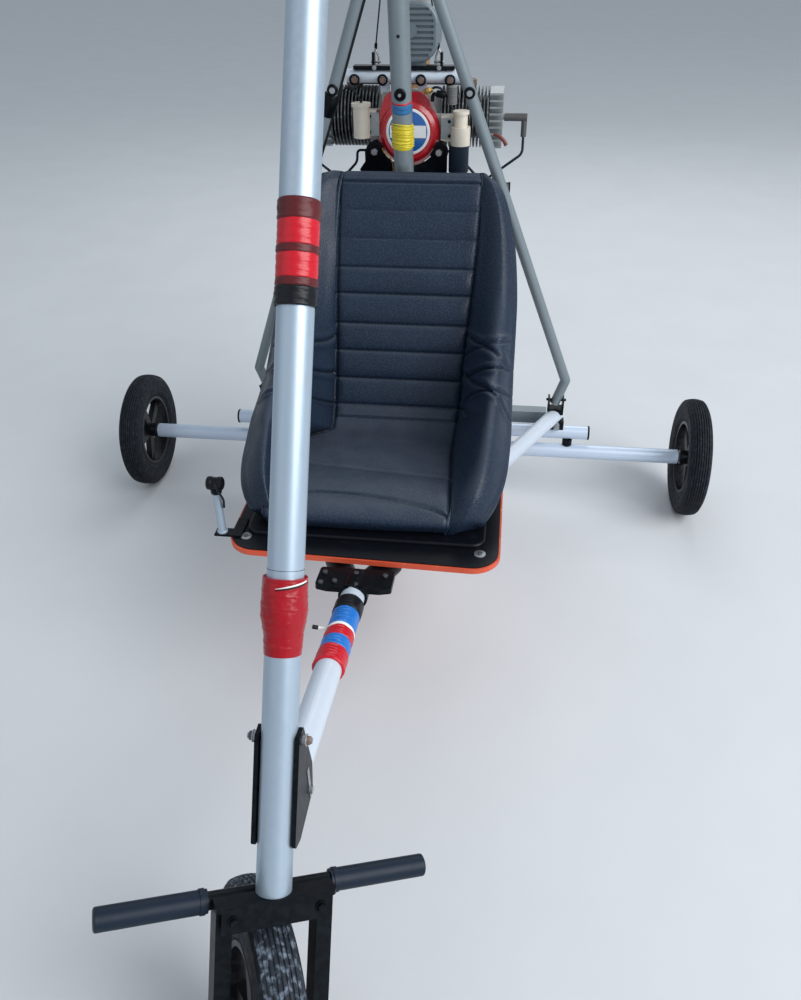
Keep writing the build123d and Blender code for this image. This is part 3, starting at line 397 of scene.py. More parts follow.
class Shape:
    """Mesh of one piece, put together from turned, swept and bevelled forms."""

    def __init__(self, name, body="frame"):
        self.name, self.body = name, body
        self.bm, self.looks = bmesh.new(), []

    def index(self, look):
        """Material number of a finish."""
        if look not in self.looks:
            self.looks.append(look)
        return self.looks.index(look)

    def skin(self, rings, look):
        """Faces between rings of points, one point at a closed end; gives the new vertices."""
        made = [[self.bm.verts.new(point) for point in ring] for ring in rings]
        for place, (first, second) in enumerate(zip(made, made[1:])):
            number = self.index(look[place] if isinstance(look, list) else look)
            for k in range(max(len(first), len(second))):
                spots = ((first, k), (second, k), (second, k + 1), (first, k + 1))
                corners = dict.fromkeys(ring[spot % len(ring)] for ring, spot in spots)
                self.bm.faces.new(tuple(corners)).material_index = number
        return made

    def lathe(self, origin, way, profile, look, steps, warp=None, start=0):
        """Form turned about an axis from (radius, distance along it) points."""
        basis = Vector(way).to_track_quat("Z", "Y").to_matrix()
        rings = []
        for radius, along in profile:
            ring = []
            for k in range(steps if radius else 1):
                angle = start + 2 * pi * k / steps
                reach = radius + (warp(angle, along) if warp else 0)
                ring.append(origin + basis @ Vector((reach * cos(angle), reach * sin(angle), along)))
            rings.append(ring)
        self.skin(rings, look)

    def turn(self, origin, way, look, steps, *profile):
        """Form turned from (radius, distance) points in millimetres."""
        self.lathe(origin, way, [(radius / 1000, along / 1000) for radius, along in profile], look, steps)

    def rod(self, start, end, radius, look, steps=24, edge=0.0008):
        """Round bar with rounded ends."""
        length = (end - start).length
        edge = min(edge, radius / 2, length / 3)
        soft = edge * 0.3
        profile = ((0, 0), (radius - edge, 0), (radius - soft, soft), (radius, edge), (radius, length - edge),
                   (radius - soft, length - soft), (radius - edge, length), (0, length))
        self.lathe(start, end - start, profile, look, steps)

    def bolt(self, origin, way, across, height, look, washer=0, washer_look=None):
        """Hexagon head with a chamfer, on a washer if that has a radius."""
        foot = 0
        if washer:
            foot = 0.0016
            plate = ((0, 0), (washer, 0), (washer, 0.0012), (washer * 0.94, 0.0018), (0, 0.0018))
            self.lathe(origin, way, plate, washer_look, 28)
        radius = across / 2 / cos(pi / 6)
        profile = ((0, foot), (radius, foot), (radius, foot + height * 0.8), (radius * 0.86, foot + height),
                   (0, foot + height))
        self.lathe(origin, way, profile, look, 6, start=HEXAGON_TURN)

    def sweep(self, points, radius, look, steps, count):
        """Round cable or pipe along a smooth curve; the radius may depend on the share along it."""
        line = smooth_line(points, count)
        angles = [2 * pi * k / steps for k in range(steps)]
        side = (line[1] - line[0]).orthogonal().normalized()
        rings = [[line[0]]]
        for k, point in enumerate(line):
            way = (line[min(k + 1, count - 1)] - line[max(k - 1, 0)]).normalized()
            side = (side - way * side.dot(way)).normalized()
            other = way.cross(side)
            reach = radius(k / (count - 1)) if callable(radius) else radius
            rings.append([point + (side * cos(angle) + other * sin(angle)) * reach for angle in angles])
        self.skin([*rings, [line[-1]]], look)

    def block(self, centre, size, look, edge):
        """Box with rounded edges."""
        number = self.index(look)
        made = bmesh.ops.create_cube(self.bm, size=1)["verts"]
        for vert in made:
            vert.co = centre + vert.co * Vector(size)
            for face in vert.link_faces:
                face.material_index = number
        lines = list(dict.fromkeys(line for vert in made for line in vert.link_edges))
        bmesh.ops.bevel(self.bm, geom=lines, offset=min(edge, min(size) * 0.3), segments=2, affect="EDGES",
                        material=number)

    def finish(self, *replaced, slot, angle=40):
        """Makes the object that rides on its body, smooth at edges under the angle in degrees."""
        bmesh.ops.recalc_face_normals(self.bm, faces=self.bm.faces)
        for line in self.bm.edges:
            line.smooth = line.calc_face_angle(tau) < radians(angle)
        for face in self.bm.faces:
            face.smooth = True
        mesh = bpy.data.meshes.new(self.name)
        self.bm.to_mesh(mesh)
        self.bm.free()
        for look in self.looks:
            mesh.materials.append(LOOKS[look])
        piece = new_object(self.name, mesh)
        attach(piece, self.body)
        if replaced:
            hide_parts(*replaced)
        return piece


# Seat: one closed upholstered form with a channelled panel, bolsters and a front lip

# Each station from the top edge over the back and the cushion to the front foot, in millimetres: the panel's
# back, up and half width, then across, back and up of the bolster's ridge, of its widest place and of the
# lower corner, and the shell's back and up
SEAT_STATIONS = (
    (-142, 1061, 178, 196, -143, 1060, 208, -140, 1056, 195, -137, 1055, -138, 1058),
    (-160, 1046, 181, 217, -174, 1044, 240, -152, 1034, 222, -128, 1026, -127, 1034),
    (-182, 1000, 181, 237, -214, 996, 266, -188, 990, 246, -145, 980, -142, 985),
    (-221, 915, 180, 252, -280, 905, 291, -245, 900, 268, -180, 895, -176, 900),
    (-278, 789, 176, 257, -378, 802, 303, -335, 795, 280, -225, 780, -222, 780),
    (-338, 657, 170, 252, -500, 738, 304, -445, 710, 285, -285, 640, -270, 645),
    (-393, 540, 166, 252, -600, 694, 306, -550, 640, 284, -350, 540, -315, 530),
    (-450, 501, 162, 252, -670, 664, 307, -625, 600, 280, -430, 478.5, -340, 472.5),
    (-530, 499, 160, 250, -720, 645, 306, -680, 577, 276, -540, 472.5, -450, 472),
    (-640, 511, 163, 246, -778, 620, 302, -745, 556, 270, -660, 472, -600, 472),
    (-760, 527, 168, 241, -826, 592, 290, -805, 537, 264, -750, 472, -720, 472),
    (-848, 529, 172, 231, -862, 562, 272, -846, 520, 256, -815, 472, -800, 472),
    (-886, 508, 172, 217, -882, 522, 254, -862, 500, 247, -842, 472, -845, 472),
    (-880, 484, 170, 202, -876, 487, 240, -852, 482, 238, -848, 472.2, -858, 472),
    (-868, 472.2, 168, 195, -865, 472.2, 234, -848, 472.1, 233, -847, 472, -864, 472),
)
LAST_STATION = len(SEAT_STATIONS) - 1
# The same numbers in metres, each with its values at all stations
SEAT_COLUMNS = [[number / 1000 for number in column] for column in zip(*SEAT_STATIONS)]
SEAT_ROWS = 560
PANEL_SAMPLES = 4000
# Length added for each station, so that the bolsters' ends get enough rows
ROW_SPREAD = 0.018
PANEL_STEPS = (0, 0.1, 0.2, 0.3, 0.4, 0.5, 0.59, 0.68, 0.76, 0.83, 0.88, 0.92, 0.95, 0.97, 0.985, 1)
BOLSTER_STEPS = (0.01, *(k / 40 for k in range(1, 41)))
SIDE_STEPS = (0.25, 0.6, 1)
SHELL_STEPS = (0.12, 0.5, 1)
# The panel's middle lies off the centre line, more so at the top
MIDDLE_LOW, MIDDLE_GAIN = 0.012, 0.014
# Extra width of the cushion on the pilot's right, and the station where it starts
CUSHION_EXTRA, CUSHION_START = 0.082, 7.3

# Heights of the sewn channels across the back, and of the ones that hardly show
SEAT_CHANNELS = (1.04, 0.978, 0.915, 0.85, 0.789, 0.72, 0.657, 0.591, 0.531)
FAINT_CHANNELS = (0.978, 0.915)
CHANNEL_DEPTH, CHANNEL_WIDTH = 0.0036, 0.0026
BACK_PAD, FAINT_PAD = 0.0085, 0.0045
CUSHION_TOP, BACK_FOOT = 0.508, 0.497
CUSHION_PAD, CUSHION_SEAM_WIDTH = 0.007, 0.0032
EDGE_SEAM_DEPTH = 0.0065
# Folds across the bolsters by side: depth, then points (share of the way from the seam to the edge, station)
FOLDS = {
    -1: ((1, ((0, 4.73), (0.9, 5.02))), (1, ((0, 5.42), (1, 5.62))), (1, ((0, 6.13), (0.95, 6.53)))),
    1: (
        (1, ((0, 4.62), (0.33, 4.69), (0.48, 4.79), (0.58, 4.89), (0.7, 5.02), (0.8, 5.17), (0.9, 5.32))),
        (0.5, ((0.52, 4.84), (0.62, 4.76), (0.78, 4.74), (1, 4.74))),
        (0.8, ((0.48, 4.86), (0.37, 4.92), (0.1, 5.04), (0.02, 5.2), (0.06, 5.34), (0.35, 5.46))),
        (1, ((0.35, 5.46), (0.5, 5.41), (0.68, 5.39), (0.82, 5.35), (1, 5.35))),
        (1, ((0, 5.32), (0.35, 5.49), (0.53, 5.81), (0.65, 6.08), (0.77, 6.27), (0.88, 6.48), (1, 6.68))),
        (1, ((0.18, 6.4), (0.28, 6.23), (0.37, 6.04), (0.45, 5.99), (0.55, 6.01), (0.65, 6.06), (0.77, 6.02),
             (1, 5.91))),
        (0.6, ((0, 6.08), (0.32, 6.33), (0.43, 6.76))),
    ),
}
FOLDED_FROM, FOLDED_TO = 4.3, 7.1
# Metres on a bolster for the whole way across it and for one station along it
FOLD_ACROSS, FOLD_ALONG = 0.17, 0.13
FOLD_DEPTH, FOLD_WIDTH = 0.0066, 0.004


def groove(distance, width):
    """Depth share of a sewn channel at a distance from its middle."""
    return exp(-(distance / width) ** 2)


def seat_rows():
    """Places along the stations, spaced evenly along the panel."""
    dense = [LAST_STATION * k / PANEL_SAMPLES for k in range(PANEL_SAMPLES + 1)]
    spots = [[rail(column, place / LAST_STATION) for column in SEAT_COLUMNS[:2]] for place in dense]
    lengths = [0]
    for first, second in zip(spots, spots[1:]):
        lengths.append(lengths[-1] + dist(first, second) + ROW_SPREAD * LAST_STATION / PANEL_SAMPLES)
    return [dense[k] + (dense[k + 1] - dense[k]) * share for k, share in evenly(lengths, SEAT_ROWS)]


def cushion_spread(place):
    """Extra width of the cushion on the pilot's right, below the bend of the back."""
    grown = clamp(place - CUSHION_START)
    return CUSHION_EXTRA * grown * grown * (3 - 2 * grown) * (1 - 0.22 * clamp((place - 10) / 3))


def seat_ring(place):
    """Points round the seat at one station, as (point, zone, share of the zone, side)."""
    values = [rail(column, place / LAST_STATION) for column in SEAT_COLUMNS]
    panel_back, panel_up, half = values[:3]
    ridge, outer, corner = [Vector(values[k:k + 3]) for k in (3, 6, 9)]
    shell = Vector((0, *values[12:]))
    middle = MIDDLE_LOW + MIDDLE_GAIN * clamp((panel_up - 0.5) / 0.55)
    ring = []
    for side in (1, -1):
        spread, outer_side, low = 0, outer, corner.copy()
        if side < 0:
            spread = cushion_spread(place)
            outer_side = outer + Vector((0.01 * clamp((0.66 - outer.z) / 0.06), 0, 0))
            low.x -= 0.014 * clamp((0.62 - outer.z) / 0.08)
        seam = Vector((half + spread, panel_back, panel_up))
        dip = seam.lerp(ridge, 0.42) + Vector((-0.012 + 0.15 * spread, 0.012, -0.01))
        path = [seam, dip, ridge, outer_side]
        run = [(Vector((side * seam.x * u + middle, *seam.yz)), "panel", u, side) for u in PANEL_STEPS]
        for u in BOLSTER_STEPS:
            point = Vector([rail([node[axis] for node in path], u) for axis in range(3)])
            point.x = side * point.x + middle * (1 - 0.7 * u)
            run.append((point, "bolster", u, side))
        for u in SIDE_STEPS:
            point = outer_side.lerp(low, u)
            point.x = side * (point.x + 0.007 * sin(pi * u)) + middle * 0.3 * (1 - u)
            run.append((point, "side", u, side))
        for u in SHELL_STEPS:
            point = low.lerp(shell, u)
            point.x *= side
            run.append((point, "shell", u, side))
        ring += run if side > 0 else list(reversed(run[1:-1]))
    return ring


def fold_distance(line, u, place):
    """Distance on a bolster from a point to a fold's line."""
    nearest = 1
    for (start_u, start_place), (end_u, end_place) in zip(line, line[1:]):
        way = Vector(((end_u - start_u) * FOLD_ACROSS, (end_place - start_place) * FOLD_ALONG))
        spot = Vector(((u - start_u) * FOLD_ACROSS, (place - start_place) * FOLD_ALONG))
        nearest = min(nearest, (spot - way * clamp(spot.dot(way) / way.length_squared)).length)
    return nearest


def back_relief(across, up, edge):
    """Padded rows of the back and the sewn channels between them."""
    height = 0
    levels = [*SEAT_CHANNELS, BACK_FOOT]
    for high, low in zip(levels, levels[1:]):
        if low <= up <= high:
            share = (high - up) / (high - low)
            puff = (1 - abs(2 * share - 1) ** 2.4) * (0.8 + 0.2 * share)
            faint = high in FAINT_CHANNELS or low in FAINT_CHANNELS
            height += (FAINT_PAD if faint else BACK_PAD) * puff * (0.3 + 0.7 * edge)
    for level in SEAT_CHANNELS:
        depth = CHANNEL_DEPTH
        if level in FAINT_CHANNELS:
            depth = 0.0014 if noise.noise(Vector((across * 22, level * 40, 1.5))) > -0.05 else 0.0002
        height -= depth * groove(up - level, CHANNEL_WIDTH)
    return height + 0.0022 * groove(up - SEAT_CHANNELS[0] - 0.006, 0.0036)


def cushion_relief(across, back, edge):
    """Pads of the cushion and its two slanted seams."""
    first = -0.703 - 0.131 * across - 0.092 * across ** 2
    second = -0.822 - 0.13 * across - 0.83 * across ** 2
    height = 0
    for depth, seam in ((0.0062, first), (0.007, second)):
        height -= depth * groove(back - seam, CUSHION_SEAM_WIDTH)
    share = (back - second) / (first - second)
    if share < 0:
        return height + CUSHION_PAD * min(-share * 1.4, 1)
    if share < 1:
        return height + 0.006 * sin(pi * share) * (0.5 + 0.5 * edge)
    crown = sin(pi * min((back - first) / 0.22, 1))
    return height + CUSHION_PAD * crown * (0.4 + 0.6 * edge)


def bolster_relief(u, side, place):
    """Rounded bolster with its seam, its folds and the piping near its edge."""
    height = 0.007 * sin(pi * min(u * 1.4, 1)) - EDGE_SEAM_DEPTH * groove(u, 0.03)
    if FOLDED_FROM < place < FOLDED_TO:
        nearest = 1
        for depth, line in FOLDS[side]:
            gap = fold_distance(line, u, place)
            nearest = min(nearest, gap)
            height -= FOLD_DEPTH * depth * groove(gap, FOLD_WIDTH) * min((1.02 - u) / 0.2, 1)
        height += 0.0042 * groove(nearest - 0.013, 0.009) * min(u / 0.05 + 0.25, (1 - u) / 0.2, 1)
    return height - 0.0016 * groove(u - 0.93, 0.02)


def seat_relief(place, point, zone, u, side):
    """Height of the upholstery over its base form: pads, sewn channels, seams and folds."""
    across, back, up = point
    height = 0.0012 * noise.noise(point * 9)
    if zone == "panel":
        edge = min((1 - u) / 0.12, 1)
        if up > CUSHION_TOP and back > -0.44:
            height += back_relief(across, up, edge)
        elif back < -0.45:
            height += cushion_relief(across, back, edge)
        height -= EDGE_SEAM_DEPTH * groove(1 - u, 0.028)
    elif zone == "bolster":
        height += bolster_relief(u, side, place)
    return height


def make_seat():
    """Upholstered bucket seat."""
    seat = Shape("seat_upholstery")
    places = seat_rows()
    rings = [seat_ring(place) for place in places]
    made = seat.skin([[at(*point) for point, *_ in ring] for ring in rings], "vinyl")
    seat.bm.faces.new(made[0])
    seat.bm.faces.new(made[-1][::-1])
    bmesh.ops.recalc_face_normals(seat.bm, faces=seat.bm.faces)
    seat.bm.normal_update()
    moves = [(vert, vert.normal * seat_relief(place, *entry))
             for place, ring, verts in zip(places, rings, made) for entry, vert in zip(ring, verts)]
    for vert, move in moves:
        vert.co += move
    seat.finish("seat", slot="vinyl", angle=360)


# Tyres with ribbed treads, turned about each wheel's own axle

# Sidewall in millimetres: distance over the bead, or under the tread, and half width there
OVER_BEAD = ((0.2, 20.5), (3, 24.5), (8, 27.5), (13, 29.2), (14.5, 30.2), (17, 30.2), (18.5, 29.4),
             (26, 31.2), (34, 32), (42, 32))
UNDER_TREAD = ((22.5, 31.6), (20.5, 32.2), (17.5, 31.8), (16, 30.6), (11, 28.4), (7.5, 26.2))
RIBS, RIB_PITCH, TREAD_CROWN = 7, 0.007, 7.56
# One rib and its groove: place across it in millimetres, and share of the groove's depth
RIB_POINTS = ((3.6, 1), (2.6, 1), (2.2, 0.25), (1.6, 0), (-1.6, 0), (-2.2, 0.25), (-2.6, 1))
TYRE_STEPS = 132


def make_tyre(wheel, radius, bead, groove_depth, tread_look):
    """Ribbed tyre with moulded sidewall rings."""
    right = [(bead + out / 1000, half / 1000) for out, half in OVER_BEAD]
    right += [(radius - deep / 1000, half / 1000) for deep, half in UNDER_TREAD]
    tread = []
    for rib in range(RIBS):
        for offset, sunk in RIB_POINTS:
            place = ((RIBS - 1) / 2 - rib) * RIB_PITCH + offset / 1000
            tread.append((radius - TREAD_CROWN * place ** 2 - sunk * groove_depth, place))
    left = [(distance, -place) for distance, place in reversed(right)]
    profile = [*right, *tread, *left, left[-1], right[0]]
    looks = ["tyre"] * (len(right) - 2) + [tread_look] * (len(tread) + 3)
    looks += ["tyre"] * (len(profile) - 1 - len(looks))
    joint = JOINTS[f"{wheel}_wheel_spin"]
    tyre = Shape(f"{wheel}_tyre_ribbed", f"{wheel}_wheel")
    tyre.lathe(Vector(joint["pos_m"]), joint["axis"], profile, looks, TYRE_STEPS)
    tyre.finish(f"{wheel}_tyre", slot="tyre", angle=50)


def make_tyres():
    """All three tyres."""
    # Front tread paler and dustier than the sidewalls: partly painted light on the tread
    make_tyre("front", 0.212, 0.12, 0.0026, "dusty_lit_tread")
    for wheel in ("rear_left", "rear_right"):
        make_tyre(wheel, 0.1825, 0.113, 0.0034, "tyre")


# Tape on the strut, the mast and the keel

# Each band of tape on the strut and on the keel: start and end along it, thickness, finish
STRUT_BANDS = (
    (0.8165, 0.842, 0.0016, "black_tape"), (0.842, 0.853, 0.0012, "brown_tape"),
    (0.853, 0.8847, 0.0008, "red_tape"), (0.8847, 0.8953, 0.0013, "brown_tape"),
    (0.8953, 0.9278, 0.0008, "red_tape"), (0.9278, 0.9545, 0.0014, "brown_tape"),
)
KEEL_BANDS = (
    (0.4935, 0.536, 0.004, "black_tape"), (0.433, 0.493, 0.0026, "blue_tape"),
    (0.424, 0.433, 0.0034, "white_tape"), (0.393, 0.424, 0.0036, "red_tape"),
    (0.358, 0.393, 0.0034, "blue_tape"), (0.312, 0.358, 0.0046, "red_tape"),
)
# Each band on the mast: lower and upper height, thickness, finish, turns
MAST_BANDS = (
    (1.2, 1.221, 0.0006, "teal_tape", 2), (1.222, 1.226, 0.0006, "red_tape", 1),
    (1.114, 1.172, 0.0009, "yellow_tape", 0),
)
BANDS_FROM = 1.1
# Where a band starts and ends, this much over its tube
TAPE_FOOT = 0.00005
TAPE_ROW, TAPE_STEPS = 0.0011, 72
TAPE_RIDGE = 0.00035
# Wrapping over the strut's joint: its start and length, and how it swells along its length
SPLICE_START, SPLICE_LENGTH = 0.345, 0.108
SPLICE_SWELL = (0.0004, 0.001, 0.0014, 0.0022, 0.004, 0.0054, 0.0061, 0.0063, 0.0061, 0.006, 0.0056, 0.005)
SPLICE_ROWS, SPLICE_STEPS = 110, 96


def ripple(angle, fineness, along):
    """Noise on a tube, at an angle round it."""
    return noise.noise(Vector((cos(angle) * fineness, sin(angle) * fineness, along)))


def wrap(shape, origin, way, radius, low, high, thick, look, turns, rough, seed):
    """Tape wound on a tube from low to high, with the ridges of its turns and small creases."""
    span = high - low
    count = max(int(span / TAPE_ROW), 8)

    def lumps(angle, along):
        spiral = (along / span * turns + angle / (2 * pi)) % 1
        ridge = TAPE_RIDGE if turns and spiral < 0.5 else 0
        return ridge + rough * ripple(angle, 2.5, along * 160 + seed)

    profile = [(radius + TAPE_FOOT, 0)]
    for k in range(count + 1):
        edge = min(k, count - k)
        profile.append((radius + thick * min(0.25 + edge * 0.5, 1), k / count * span))
    profile.append((radius + TAPE_FOOT, span))
    shape.lathe(origin + way * low, way, profile, look, TAPE_STEPS, lumps)


def splice_lumps(angle, along):
    """Turns, dents and creases of the wrapping."""
    u = along / SPLICE_LENGTH
    spiral = (u * 6 + angle / (2 * pi)) % 1
    ridge = 0.0006 * max(0, 1 - spiral * 5)
    dents = 0.0012 * ripple(angle, 1.6, along * 38) + 0.0005 * ripple(angle, 5, along * 150 + 7)
    return (ridge + dents) * min(u * 8, (1 - u) * 20, 1)


def splice_radius(along):
    """Radius of the wrapping before its lumps."""
    return LOWER_STRUT_RADIUS + 0.0001 + rail(SPLICE_SWELL, along / SPLICE_LENGTH)


def make_splice():
    """Red wrapping over the strut's joint, with the end of a black and white band."""
    splice = Shape("splice_wrapping")
    rows = [SPLICE_LENGTH * k / SPLICE_ROWS for k in range(SPLICE_ROWS + 1)]
    foot = LOWER_STRUT_RADIUS + TAPE_FOOT
    profile = [(foot, 0), *((splice_radius(along), along) for along in rows), (foot, SPLICE_LENGTH)]
    splice.lathe(on_strut(SPLICE_START), STRUT_WAY, profile, "splice_red", SPLICE_STEPS, splice_lumps)
    for offset, half, look in ((0, 0.0013, "white_tape"), (-0.0022, 0.0012, "black_tape")):
        rings = []
        for k in range(25):
            u = k / 24
            angle = radians(-10 + 86 * u)
            out = Vector((1, 0, 0)) * sin(angle) + STRUT_FRONT * cos(angle)
            along = SPLICE_LENGTH - 0.0125 + 0.009 * u + offset
            edge = STRUT_WAY * half * (0.15 + sin(pi * min(u * 0.62 + 0.05, 1)))
            surface = splice_radius(along) + 0.0008
            centre = on_strut(SPLICE_START + along)
            rings.append([centre + out * surface + edge, centre + out * (surface + 0.0008),
                          centre + out * surface - edge, centre + out * (surface - 0.0012)])
        splice.skin([[rings[0][3]], *rings, [rings[-1][3]]], look)
    splice.finish("splice_tape", slot="red_tape")
    ring = Shape("strut_joint_ring")
    ring.turn(on_strut(0.4636), STRUT_WAY, "old_metal", 48,
              (25.75, 0), (26.25, 0.1), (26.25, 0.6), (25.75, 0.7))
    ring.finish(slot="red_tape")


def make_mast_tapes():
    """Tape on the mast, and the yellow cord wound round it."""
    mast = Shape("mast_tape_bands")
    for low, high, thick, look, turns in MAST_BANDS:
        foot, head = [(height - BANDS_FROM) / MAST_WAY.z for height in (low, high)]
        wrap(mast, on_mast(BANDS_FROM), MAST_WAY, MAST_RADIUS, foot, head, thick, look, turns, 0.0003,
             low * 9)
    reach = MAST_RADIUS + 0.0021
    for turn in range(19):
        centre = on_mast(1.117 + turn * 0.0029 + 0.0012 * sin(turn * 2.1))
        tilt = 0.16 * sin(turn * 1.7)
        loop = []
        for k in range(11):
            angle = 2 * pi * k / 10
            around = (cos(angle), sin(angle) * 1.02, cos(angle + turn) * tilt)
            loop.append(centre + Vector(around) * reach)
        mast.sweep(loop, 0.0014, "yellow_tape", 6, 40)
    mast.turn(on_mast(1.374) + MAST_FRONT * (MAST_RADIUS + 0.0002), MAST_FRONT, "black_tape", 20,
              (0, 0), (3.6, 0), (4, 0.4), (0, 0.5))
    mast.finish(slot="red_tape")


def make_tapes():
    """Coloured tape on the strut, the keel and the mast."""
    bands = Shape("strut_tape_bands")
    for number, (low, high, thick, look) in enumerate(STRUT_BANDS):
        wrap(bands, STRUT_FOOT, STRUT_WAY, STRUT_RADIUS, low, high, thick, look, (high - low) / 0.012,
             0.0003 if look == "red_tape" else 0.0007, number * 3.1)
    bands.finish(slot="red_tape")
    make_splice()
    keel = Shape("keel_tape_bands")
    for number, (low, high, thick, look) in enumerate(KEEL_BANDS):
        wrap(keel, KEEL_START, KEEL_WAY, KEEL_RADIUS, low, high, thick, look, (high - low) / 0.008, 0.0009,
             number * 5.3)
    pin = KEEL_START + KEEL_WAY * 0.438
    keel.rod(pin + Vector((-0.026, 0, 0.004)), pin + Vector((-0.046, -0.004, 0.01)), 0.0035, "white_tape")
    start, end = Vector((-0.044, -0.003, 0.009)), Vector((-0.054, -0.006, 0.013))
    keel.rod(pin + start, pin + end, 0.0042, "black_tape")
    keel.finish(slot="red_tape")
    make_mast_tapes()


# Engine's small parts: bolts, shackles, cables, fittings and the disc on the fan cover


def make_engine_bolts():
    """Bolts, rubber rings and plates round the engine."""
    bolts = Shape("engine_bolts")
    for across in (-0.134, -0.062, 0.035, 0.109):
        face = at(across, -0.0202, CRANK + 0.102)
        bolts.turn(face, FORWARD, "black_metal", 32,
                   (8.5, 0), (13.5, 0), (13.8, 2), (12.5, 4), (9.5, 4.2), (8.5, 2))
        bolts.bolt(face, FORWARD, 0.0135, 0.0065, "rusty")
    for side in (-1, 1):
        face = at(side * 0.0845, -0.0397, CRANK - 0.066)
        bolts.bolt(face, FORWARD, 0.016, 0.008, "steel", 0.0115, "black_metal")
    for side, height in ((-1, 1.2535), (1, 1.2495)):
        along = (on_side(side, 1.1) - on_side(side, 1.3)).normalized()
        front = (FORWARD + along * along.y).normalized()
        face = on_side(side, height) + front * 0.0142
        bolts.turn(face, front, "black_metal", 32,
                   (7.5, -2), (13.5, -2), (13.8, 2.5), (12, 4.5), (8.5, 4.5), (7.5, 2))
        bolts.turn(face, front, "steel", 24, (0, 3), (7.8, 3), (7, 5.5), (0, 6.2))
    knuckle = on_side(-1, 1.218)
    way = (on_side(-1, 1.1) - knuckle).normalized()
    bolts.turn(knuckle - way * 0.026, way, "black_metal", 28,
               (15, 0), (18, 3), (20.5, 18), (20, 34), (16.5, 50), (15, 56))
    face = on_mast(1.248) + MAST_FRONT * (MAST_RADIUS + 0.0003)
    bolts.turn(face, MAST_FRONT, "black_metal", 32,
               (7, -2), (14.2, -2), (14.6, 3), (12.5, 5.2), (8.5, 5.2), (7, 2))
    bolts.turn(face, MAST_FRONT, "black_metal", 24, (0, 1), (8, 1), (7.6, 2), (0, 2.4))
    bolts.bolt(face + Vector((-0.001, 0, 0)), MAST_FRONT, 0.0085, 0.0062, "steel")
    for across, height in ((-0.0972, 1.169), (-0.0985, 1.1304), (0.1091, 1.1579), (0.1098, 1.1233)):
        bolts.turn(at(across, -0.0222, height), FORWARD, "black_metal", 16,
                   (0, 0), (4.2, 0), (4, 2.2), (0, 3))
    trim = []
    for k in range(33):
        angle = radians(192 + 156 * k / 32)
        out = Vector((cos(angle), 0, sin(angle)))
        corners = ((0.0826, -0.0235), (0.0826, -0.021), (0.094, -0.021), (0.094, -0.0235))
        trim.append([at(0.003, back, CRANK - 0.022) + out * reach for reach, back in corners])
    bolts.skin([[trim[0][0]], *trim, [trim[-1][0]]], "black_metal")
    for across, height, width, tall in ((-0.086, 1.15, 0.026, 0.056), (0.1045, 1.141, 0.032, 0.05)):
        bolts.block(at(across, -0.0218, height), (width, 0.0014, tall), "head_metal", 0.0004)
    bolts.finish(slot="steel")


def make_rigging():
    """Wires from the bearers to the mast, each with its shackle and pin."""
    rigging = Shape("rigging_cables")
    for side, across, top in ((-1, -0.0811, -0.067), (1, 0.0785, 0.0588)):
        neck, head = at(across, 0, 1.322), at(top, 0, 1.4274)
        wire = [neck, neck.lerp(head, 0.5), head + (head - neck).normalized() * 0.012]
        rigging.sweep(wire, 0.0019, "black_tape", 8, 20)
        for spread in (-0.0075, 0.0075):
            shackle = [at(across + spread, -0.003, 1.288), at(across + spread, -0.003, 1.304),
                       at(across + spread * 0.3, -0.002, 1.318), at(across, 0, 1.328)]
            rigging.sweep(shackle, 0.0022, "steel", 8, 20)
        rigging.rod(at(across, 0, 1.318), neck.lerp(head, 0.12), 0.0038, "black_metal", 14)
        rigging.rod(at(across - 0.012, -0.003, 1.293), at(across + 0.013, -0.003, 1.293), 0.0032, "steel", 14)
        rigging.turn(at(across + side * 0.002, -0.0165, 1.2815), FORWARD, "steel", 16,
                     (0, 0), (6, 0), (5.5, 3), (0, 4))
    rigging.finish(slot="black_plastic")


